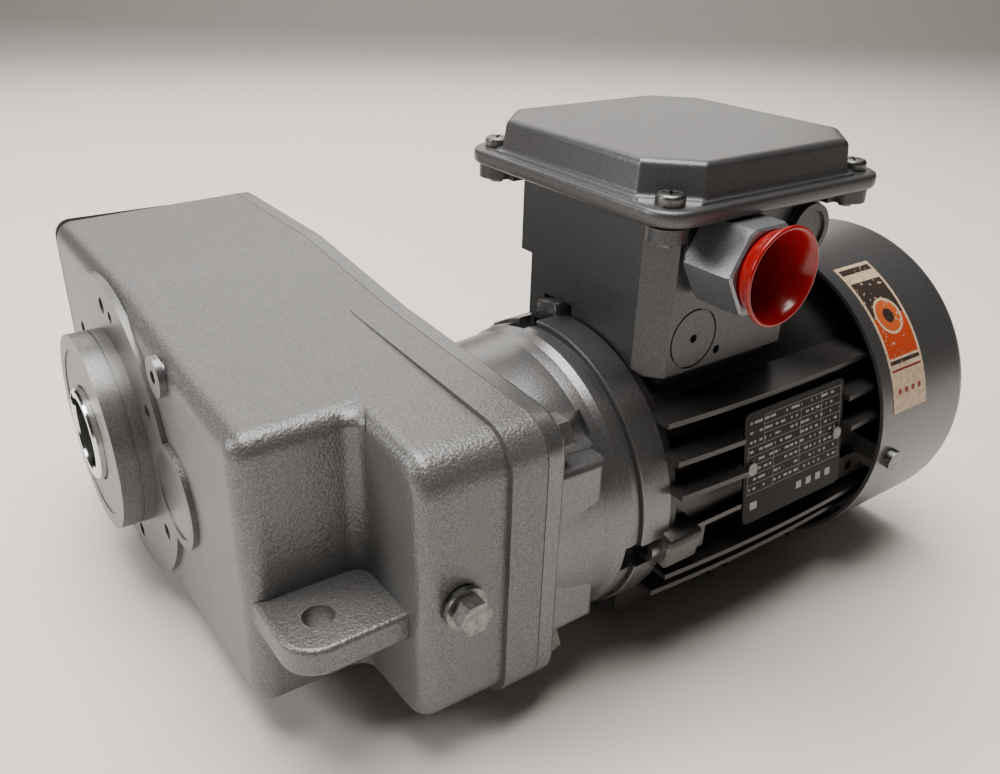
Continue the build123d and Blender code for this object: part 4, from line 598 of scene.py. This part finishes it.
# Blocks behind the flange screws: cast on the frame, square, with rounded edges. Each
# comes forward between the ears of the bell's flange.
block_front, block_back = 0.1427, 0.1590
block_root, block_reach = 0.0530, 0.0657
block_half = 0.0072
block_edge = 0.0012
block_angles = (77.0, 190.0, 314.0)


def turned_block(angle):
    """Points and faces of one screw block, at its angle round the motor's shaft."""
    turn = math.radians(angle)
    rings = []
    outline = [
        (block_root, -block_half), (block_reach - block_edge, -block_half),
        (block_reach, -block_half + block_edge), (block_reach, block_half - block_edge),
        (block_reach - block_edge, block_half), (block_root, block_half),
    ]
    for x, inset in ((block_front, block_edge), (block_front + block_edge, 0.0), (block_back, 0.0)):
        ring = []
        for radial, side in outline:
            radial = min(radial, block_reach - inset)
            side = max(-block_half + inset, min(block_half - inset, side))
            ring.append((
                x,
                motor_y + radial * math.cos(turn) - side * math.sin(turn),
                radial * math.sin(turn) + side * math.cos(turn),
            ))
        rings.append(ring)
    return loft(rings)


for index, angle in enumerate(block_angles):
    block_points, block_faces = turned_block(angle)
    screw_block = add_piece(
        "screw_block_%d" % (index + 1), block_points, block_faces, frame_paint, sharp=60)


# Stator and rotor cores: sheets of electrical steel, punched and stacked. The windings
# are varnished copper wire, wound into the stator's core.
stack = plated_steel(
    "electrical steel", dark=(0.20, 0.20, 0.21), bright=(0.30, 0.30, 0.31), roughness=0.5)
copper = plated_steel(
    "varnished copper", dark=(0.42, 0.16, 0.06), bright=(0.60, 0.26, 0.11), roughness=0.35,
    grain=300.0)
finish(stack, "stator_core", "rotor_core")
finish(copper, "windings")


# Nameplate: black anodised aluminium with two rivets, its table of rules printed in pale
# ink. The fields are filled with plain short bars in place of words.
plate_middle_x = 0.2115
plate_middle_z = 0.012
plate_lean = math.radians(9.0)
rule_width = 0.00016
mark_columns = (
    (-0.0262, -0.0222), (0.0020, 0.0052), (0.0082, 0.0114), (0.0144, 0.0176), (0.0206, 0.0238))
mark_low, mark_high = -0.0180, -0.0148
bar_left, bar_right = -0.0272, 0.0280
bar_low, bar_high = -0.0106, 0.0200
bar_start_x, bar_start_z = -0.028, -0.011
bar_pitch_x, bar_pitch_z = 0.0031, 0.0040
bar_foot, bar_head = 0.36, 0.62
bar_spread, bar_least = 1.3, -0.25
ink_spread, ink_least = 0.5, 0.55
anodised_black = (0.008, 0.008, 0.0085)
pale_ink = (0.42, 0.41, 0.39)

plate_black, plate_tree, plate_shader = new_material("black nameplate", roughness=0.40)
plate_shader.inputs["Specular IOR Level"].default_value = 0.12
plate_axes = plate_tree.nodes.new("ShaderNodeSeparateXYZ")
plate_place = plate_tree.nodes.new("ShaderNodeTexCoord").outputs["Object"]
plate_tree.links.new(plate_place, plate_axes.inputs["Vector"])
plate_across = number(plate_tree, "SUBTRACT", plate_axes.outputs["X"], plate_middle_x)
plate_up = number(plate_tree, "SUBTRACT", plate_axes.outputs["Z"], plate_middle_z)
plate_up = number(plate_tree, "DIVIDE", plate_up, math.cos(plate_lean))


def in_box(tree, across, up, left, right, low, high):
    """One inside a rectangle."""
    return number(tree, "MULTIPLY", between(tree, across, left, right), between(tree, up, low, high))


def rule(tree, across, up, left, right, low, high):
    """A printed rule from corner to corner of a thin rectangle."""
    half = rule_width / 2
    if left == right:
        return in_box(tree, across, up, left - half, left + half, low, high)
    return in_box(tree, across, up, left, right, low - half, low + half)


# Each rule is its left and right end and its low and high end, from the plate's middle.
plate_rules = [
    (-0.0280, 0.0285, -0.0110, -0.0110), (-0.0190, 0.0285, 0.0205, 0.0205),
    (-0.0280, 0.0285, 0.0090, 0.0090), (-0.0280, 0.0285, 0.0050, 0.0050),
    (-0.0190, 0.0285, 0.0130, 0.0130), (-0.0190, 0.0285, 0.0168, 0.0168),
    (-0.0280, 0.0285, 0.0010, 0.0010), (-0.0280, 0.0285, -0.0030, -0.0030),
    (-0.0280, 0.0285, -0.0070, -0.0070),
    (-0.0280, -0.0280, -0.0110, 0.0090), (0.0285, 0.0285, -0.0110, 0.0205),
    (-0.0190, -0.0190, 0.0090, 0.0205), (0.0030, 0.0030, -0.0110, 0.0168),
    (0.0160, 0.0160, -0.0030, 0.0205), (-0.0130, -0.0130, -0.0110, 0.0050),
]
plate_print = None
for left, right, low, high in plate_rules:
    line = rule(plate_tree, plate_across, plate_up, left, right, low, high)
    plate_print = line if plate_print is None else number(plate_tree, "MAXIMUM", plate_print, line)

# Short bars in the fields: cells of a stretched lattice, some left empty.
from_start_x = number(plate_tree, "SUBTRACT", plate_across, bar_start_x)
from_start_z = number(plate_tree, "SUBTRACT", plate_up, bar_start_z)
bar_column = number(plate_tree, "DIVIDE", from_start_x, bar_pitch_x)
bar_row = number(plate_tree, "DIVIDE", from_start_z, bar_pitch_z)
in_column = number(plate_tree, "FRACT", bar_column)
in_row = number(plate_tree, "FRACT", bar_row)
bar_cell = plate_tree.nodes.new("ShaderNodeCombineXYZ")
plate_tree.links.new(number(plate_tree, "FLOOR", bar_column), bar_cell.inputs["X"])
plate_tree.links.new(number(plate_tree, "FLOOR", bar_row), bar_cell.inputs["Y"])
bar_choice = plate_tree.nodes.new("ShaderNodeTexWhiteNoise")
plate_tree.links.new(bar_cell.outputs["Vector"], bar_choice.inputs["Vector"])
bar_length = number(plate_tree, "MULTIPLY_ADD", bar_choice.outputs["Value"], bar_spread, bar_least)
bars = number(plate_tree, "MULTIPLY", number(plate_tree, "LESS_THAN", in_column, bar_length),
              between(plate_tree, in_row, bar_foot, bar_head))
bar_field = in_box(plate_tree, plate_across, plate_up, bar_left, bar_right, bar_low, bar_high)
bars = number(plate_tree, "MULTIPLY", bars, bar_field)
plate_print = number(plate_tree, "MAXIMUM", plate_print, bars)
for left, right in mark_columns:
    mark = in_box(plate_tree, plate_across, plate_up, left, right, mark_low, mark_high)
    plate_print = number(plate_tree, "MAXIMUM", plate_print, mark)
plate_grain = noise(plate_tree, plate_place, scale=2200.0)
ink_cover = number(plate_tree, "MULTIPLY_ADD", plate_grain, ink_spread, ink_least)
plate_ink = number(plate_tree, "MULTIPLY", plate_print, ink_cover)
plate_colour = two_colours(
    plate_tree, plate_ink, low=0.05, low_colour=anodised_black, high=0.9, high_colour=pale_ink)
plate_tree.links.new(plate_colour, plate_shader.inputs["Base Color"])
relief(plate_tree, plate_shader, plate_grain, depth=0.00002)
finish(plate_black, "nameplate")
# The rivets take the darker zinc, which is painted shade.
finish(shaded_zinc, "nameplate_rivets")


# Screws of the motor flange, rear shield, box, lid and fan cover: steel with a dull dark
# plating, turned into the castings. The flange's have hexagon sockets.
dull_steel = plated_steel(
    "dull screw steel", dark=(0.13, 0.13, 0.13), bright=(0.26, 0.26, 0.255), roughness=0.38)
finish(dull_steel, "motor_screws", "shield_screws", "box_screws", "lid_screws", "fan_cover_screws")


# Terminal box: a die-cast aluminium base, screwed to the frame, in smooth silver-grey
# paint, finer in the grain than the gear case. The blank plug closes its other entry.
box_grain = {"Grain_Scale": 1100.0, "Grain_Depth": 0.075, "Wave_Depth": 0.10, "Pits": 0.0}
box_paint = casting_paint(
    "silver-grey box paint", dark=(0.075, 0.077, 0.081), bright=(0.12, 0.122, 0.126),
    roughness=0.40, metallic=0.70, grain=box_grain)
finish(box_paint, "terminal_box_base", "blank_plug")


# Lid: an aluminium die casting with a thin flange, a low step along it, and a dome with
# eight corners, held by four screws. It is drawn again here with soft edges.
lid_middle = (0.1883, -0.123)
lid_under = 0.1130
lid_flange_top = 0.1185
lid_top = 0.1316
lid_inside_top = 0.1286
corner_steps = 4
# Each line is a height, half width, length of the corner cut, and rounding of its ends.
lid_lines = [
    (lid_inside_top, 0.0370, 0.0080, 0.0020),
    (lid_under, 0.0375, 0.0080, 0.0020),
    (lid_under, 0.0566, 0.0066, 0.0112),
    (0.1136, 0.0573, 0.0070, 0.0119),
    (0.1145, 0.0575, 0.00703, 0.0120),
    (0.1170, 0.0575, 0.00703, 0.0120),
    (0.1180, 0.0572, 0.0070, 0.0118),
    (lid_flange_top, 0.0564, 0.0068, 0.0112),
    (lid_flange_top, 0.0553, 0.0072, 0.0100),
    (lid_flange_top + 0.0002, 0.0548, 0.0150, 0.0060),
    (lid_flange_top + 0.0010, 0.0545, 0.0154, 0.0050),
    (lid_flange_top + 0.0011, 0.0537, 0.0154, 0.0040),
    (lid_flange_top + 0.0015, 0.0531, 0.0155, 0.0030),
    (lid_flange_top + 0.0030, 0.0526, 0.0155, 0.0022),
    (0.1290, 0.0518, 0.0152, 0.0020),
    (0.1301, 0.0515, 0.0151, 0.0020),
    (0.1309, 0.0509, 0.0149, 0.0019),
    (0.1314, 0.0500, 0.0146, 0.0018),
    (lid_top, 0.0489, 0.0143, 0.0016),
    (lid_top, 0.0470, 0.0138, 0.0014),
]


def eight_corners(height, half, cut, rounding):
    """Ring of points round a square with cut corners, its eight ends rounded."""
    ring = []
    half_turn = math.radians(45) / 2
    reach = rounding * math.tan(half_turn)
    corners = []
    for quarter in range(4):
        turn = math.radians(90 * quarter)
        for x, y, heading in ((half, half - cut, 90), (half - cut, half, 135)):
            across = x * math.cos(turn) - y * math.sin(turn)
            along = x * math.sin(turn) + y * math.cos(turn)
            corners.append((across, along, heading + 90 * quarter))
    for x, y, heading in corners:
        first = math.radians(heading)
        start_x = x - reach * math.cos(first)
        start_y = y - reach * math.sin(first)
        centre_x = start_x - rounding * math.sin(first)
        centre_y = start_y + rounding * math.cos(first)
        for step in range(corner_steps + 1):
            here = first + math.radians(45 * step / corner_steps)
            ring.append((
                lid_middle[0] + centre_x + rounding * math.sin(here),
                lid_middle[1] + centre_y - rounding * math.cos(here),
                height,
            ))
    return ring


lid_points, lid_faces = loft([eight_corners(*line) for line in lid_lines])
lid_paint = casting_paint(
    "silver-grey lid paint", dark=(0.10, 0.101, 0.103), bright=(0.15, 0.15, 0.152),
    roughness=0.40, metallic=0.70, grain=box_grain)
lid = add_piece("lid_casting", lid_points, lid_faces, lid_paint, sharp=50)
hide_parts("terminal_box_lid")


# Terminal board: moulded in dark plastic, set on the floor of the box. Its studs, nuts and
# links are turned and stamped from brass.
board_plastic = soft_sheet("moulded board", colour=(0.025, 0.025, 0.026), roughness=0.45, grain=800.0)
brass = plated_steel("brass", dark=(0.55, 0.40, 0.16), bright=(0.75, 0.58, 0.27), roughness=0.3)
finish(board_plastic, "terminal_board")
finish(brass, "terminal_studs", "terminal_links")


# Cable adaptor: a zinc die casting with a hexagon outside, left bare and matt, screwed
# into the box's wall over a rubber seal.
adaptor_zinc, adaptor_tree, adaptor_shader = new_material(
    "matt zinc casting", roughness=0.46, metallic=0.85)
adaptor_skin = place_group(
    adaptor_tree, cast_skin, Grain_Scale=1500.0, Grain_Depth=0.10, Wave_Depth=0.15, Pits=0.0)
relief(adaptor_tree, adaptor_shader, adaptor_skin.outputs["Height"], depth=0.0007)
adaptor_colour = two_colours(
    adaptor_tree, adaptor_skin.outputs["Fleck"], low=0.3, low_colour=(0.20, 0.212, 0.225),
    high=0.7, high_colour=(0.34, 0.355, 0.37))
adaptor_tree.links.new(adaptor_colour, adaptor_shader.inputs["Base Color"])
entry_x, entry_z = 0.1690, 0.0970
adaptor_root, adaptor_end = -0.1687, -0.1900
adaptor_flat = 0.0150
adaptor_bore = 0.0132
adaptor_bevel = 0.0008
adaptor_bore_end = -0.1689
face_corner, rim_corner, root_corner = 0.0160, 0.0167, 0.0163


def entry_ring(radius_at, y, count=72):
    """Ring of points round the cable entry at y, its radius given for each angle."""
    ring = []
    for i in range(count):
        angle = 2 * math.pi * i / count
        radius = radius_at(angle) if callable(radius_at) else radius_at
        ring.append((entry_x + radius * math.cos(angle), y, entry_z + radius * math.sin(angle)))
    return ring


def hexagon_radius(flat, limit=1.0):
    """Distance to a hexagon with flats above and below, its corners turned off at limit."""
    def at(angle):
        from_flat = (angle + math.radians(60)) % math.radians(60) - math.radians(30)
        return min(flat / math.cos(from_flat), limit)
    return at


hexagon = hexagon_radius(adaptor_flat)
adaptor_rings = [
    entry_ring(adaptor_bore, adaptor_bore_end),
    entry_ring(adaptor_bore, adaptor_end + adaptor_bevel),
    entry_ring(adaptor_bore + adaptor_bevel, adaptor_end),
    entry_ring(hexagon_radius(adaptor_flat - adaptor_bevel, face_corner), adaptor_end),
    entry_ring(hexagon_radius(adaptor_flat, rim_corner), adaptor_end + adaptor_bevel),
    entry_ring(hexagon, adaptor_end + 3 * adaptor_bevel),
    entry_ring(hexagon, adaptor_root - adaptor_bevel),
    entry_ring(hexagon_radius(adaptor_flat, root_corner), adaptor_root),
]
adaptor = add_piece("adaptor_body", *loft(adaptor_rings), adaptor_zinc, sharp=25)
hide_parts("cable_adaptor")


# Transit plug: a red trumpet moulded in soft glossy plastic, pushed into the adaptor. It
# is a tube with a closed inner end, and its mouth opens into a rounded rim.
red_plastic, red_tree, red_shader = new_material("red plug plastic", roughness=0.22, coat=0.25)
red_shader.inputs["Coat Roughness"].default_value = 0.12
red_place = red_tree.nodes.new("ShaderNodeTexCoord").outputs["Object"]
red_colour = two_colours(
    red_tree, noise(red_tree, red_place, scale=120.0), low=0.3, low_colour=(0.30, 0.0013, 0.001),
    high=0.7, high_colour=(0.37, 0.0025, 0.0018))
red_tree.links.new(red_colour, red_shader.inputs["Base Color"])
relief(red_tree, red_shader, noise(red_tree, red_place, scale=260.0), depth=0.0001)

# Radius and place along the plug, from its closed end out over the rim and in again.
plug_line = [
    (0.0050, -0.1691), (0.0118, -0.1692), (0.0127, -0.1700), (0.0130, -0.1715), (0.0131, -0.1897),
    (0.0134, -0.1903), (0.0141, -0.1909), (0.0149, -0.1926), (0.0157, -0.1947), (0.0164, -0.1960),
    (0.0170, -0.1965), (0.0173, -0.1970), (0.0173, -0.1974), (0.0171, -0.1978), (0.0166, -0.1980),
    (0.0161, -0.1978), (0.0155, -0.1971), (0.0149, -0.1959), (0.0142, -0.1941), (0.0133, -0.1918),
    (0.0125, -0.1888), (0.0117, -0.1850), (0.0111, -0.1800), (0.0107, -0.1720), (0.0102, -0.1706),
    (0.0050, -0.1704),
]
plug_points, plug_faces = loft([entry_ring(*line) for line in plug_line])
plug = add_piece("plug_trumpet", plug_points, plug_faces, red_plastic, sharp=60)
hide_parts("transit_plug")


# Fan: moulded in black plastic, with straight blades, pushed on the motor shaft's end and
# held by a clip.
fan_plastic = soft_sheet("moulded fan plastic", colour=(0.020, 0.020, 0.020), roughness=0.45, grain=500.0)
finish(fan_plastic, "fan")


# Fan cover: a cup drawn from sheet steel, its grille punched, sprayed smooth silver and
# screwed to ears on the motor frame.
sheet_paint = casting_paint(
    "silver paint on the fan cover", dark=(0.14, 0.141, 0.145), bright=(0.20, 0.20, 0.203),
    roughness=0.33, metallic=0.75,
    grain={"Grain_Scale": 1700.0, "Grain_Depth": 0.028, "Wave_Depth": 0.03, "Pits": 0.0},
)
finish(sheet_paint, "fan_cover")


# Sticker: a strip of printed film bent round the fan cover, cream with dark bands, an
# orange sun and a row of dots, rubbed at its edges.
sticker_start_x, sticker_end_x = 0.2667, 0.2903
sticker_low, sticker_high = math.radians(12.0), math.radians(67.0)
sticker_under = 0.07252
sticker_over = 0.07268
sticker_rows, sticker_columns = 36, 6
sticker_length_by_width = 2.95
worn_off = 0.36
brown_ink = (0.035, 0.026, 0.02)
dark_ink = (0.03, 0.022, 0.018)
red_ink = (0.20, 0.02, 0.012)
orange_ink = (0.46, 0.05, 0.012)
sun_middle = (0.5, 0.60)
sun_rings = ((0.36, (0.60, 0.47, 0.32)), (0.31, (0.52, 0.10, 0.02)), (0.14, dark_ink))
dot_places = (0.2, 0.4, 0.6, 0.8)
dot_up, dot_radius = 0.13, 0.055


def sticker_skin():
    """Points and faces of the bent strip, front first, then its back and edges."""
    points, faces = [], []
    for radius in (sticker_over, sticker_under):
        for row in range(sticker_rows + 1):
            angle = sticker_low + (sticker_high - sticker_low) * row / sticker_rows
            for column in range(sticker_columns + 1):
                x = sticker_start_x + (sticker_end_x - sticker_start_x) * column / sticker_columns
                points.append((x, motor_y - radius * math.cos(angle), radius * math.sin(angle)))
    wide = sticker_columns + 1
    back = wide * (sticker_rows + 1)
    for row in range(sticker_rows):
        for column in range(sticker_columns):
            a = row * wide + column
            faces.append((a, a + 1, a + wide + 1, a + wide))
            faces.append((back + a + wide, back + a + wide + 1, back + a + 1, back + a))
    rim = list(range(wide)) + [row * wide + wide - 1 for row in range(1, sticker_rows + 1)]
    rim += [sticker_rows * wide + column for column in range(sticker_columns - 1, -1, -1)]
    rim += [row * wide for row in range(sticker_rows - 1, 0, -1)]
    for here, there in zip(rim, rim[1:] + rim[:1]):
        faces.append((there, here, back + here, back + there))
    return points, faces


sticker_film, sticker_tree, sticker_shader = new_material("printed film", roughness=0.42, coat=0.1)
sticker_uv = sticker_tree.nodes.new("ShaderNodeUVMap")
sticker_uv.uv_map = "strip"
sticker_axes = sticker_tree.nodes.new("ShaderNodeSeparateXYZ")
sticker_tree.links.new(sticker_uv.outputs["UV"], sticker_axes.inputs["Vector"])
film_across, film_up = sticker_axes.outputs["X"], sticker_axes.outputs["Y"]
film_place = sticker_tree.nodes.new("ShaderNodeTexCoord").outputs["Object"]
film_worn = noise(sticker_tree, film_place, scale=420.0, detail=4.0)


def disc(centre_across, centre_up, radius):
    """One inside a circle on the strip, its radius in widths of the strip."""
    side = number(sticker_tree, "SUBTRACT", film_across, centre_across)
    rise = number(sticker_tree, "SUBTRACT", film_up, centre_up)
    rise = number(sticker_tree, "MULTIPLY", rise, sticker_length_by_width)
    return number(sticker_tree, "LESS_THAN", distance(sticker_tree, side, rise), radius)


film_colour = two_colours(
    sticker_tree, film_worn, low=0.25, low_colour=(0.42, 0.29, 0.17), high=0.62,
    high_colour=(0.66, 0.52, 0.36))
film_left = number(sticker_tree, "GREATER_THAN", film_worn, worn_off)
# Each band is its left and right edge and its low and high edge, in parts of the strip.
for left, right, low, high, colour in (
    (0.06, 0.94, 0.93, 0.975, dark_ink),
    (0.06, 0.94, 0.34, 0.60, orange_ink),
    (0.06, 0.94, 0.60, 0.86, brown_ink),
    (0.06, 0.94, 0.30, 0.325, brown_ink),
    (0.06, 0.94, 0.255, 0.27, red_ink),
):
    band = number(sticker_tree, "MULTIPLY", film_left,
                  in_box(sticker_tree, film_across, film_up, left, right, low, high))
    film_colour = laid_over(sticker_tree, film_colour, band, colour)
for radius, colour in sun_rings:
    sun = number(sticker_tree, "MULTIPLY", film_left, disc(*sun_middle, radius))
    film_colour = laid_over(sticker_tree, film_colour, sun, colour)
for dot_across in dot_places:
    dot = disc(dot_across, dot_up, dot_radius)
    film_colour = laid_over(sticker_tree, film_colour, dot, red_ink)
sticker_tree.links.new(film_colour, sticker_shader.inputs["Base Color"])
relief(sticker_tree, sticker_shader, film_worn, depth=0.00005)

sticker_points, sticker_faces = sticker_skin()
sticker = add_piece("cover_sticker", sticker_points, sticker_faces, sticker_film, sharp=50)
strip_map = sticker.data.uv_layers.new(name="strip")
for corner in sticker.data.loops:
    place = corner.vertex_index % ((sticker_rows + 1) * (sticker_columns + 1))
    row, column = divmod(place, sticker_columns + 1)
    strip_map.data[corner.index].uv = (column / sticker_columns, row / sticker_rows)
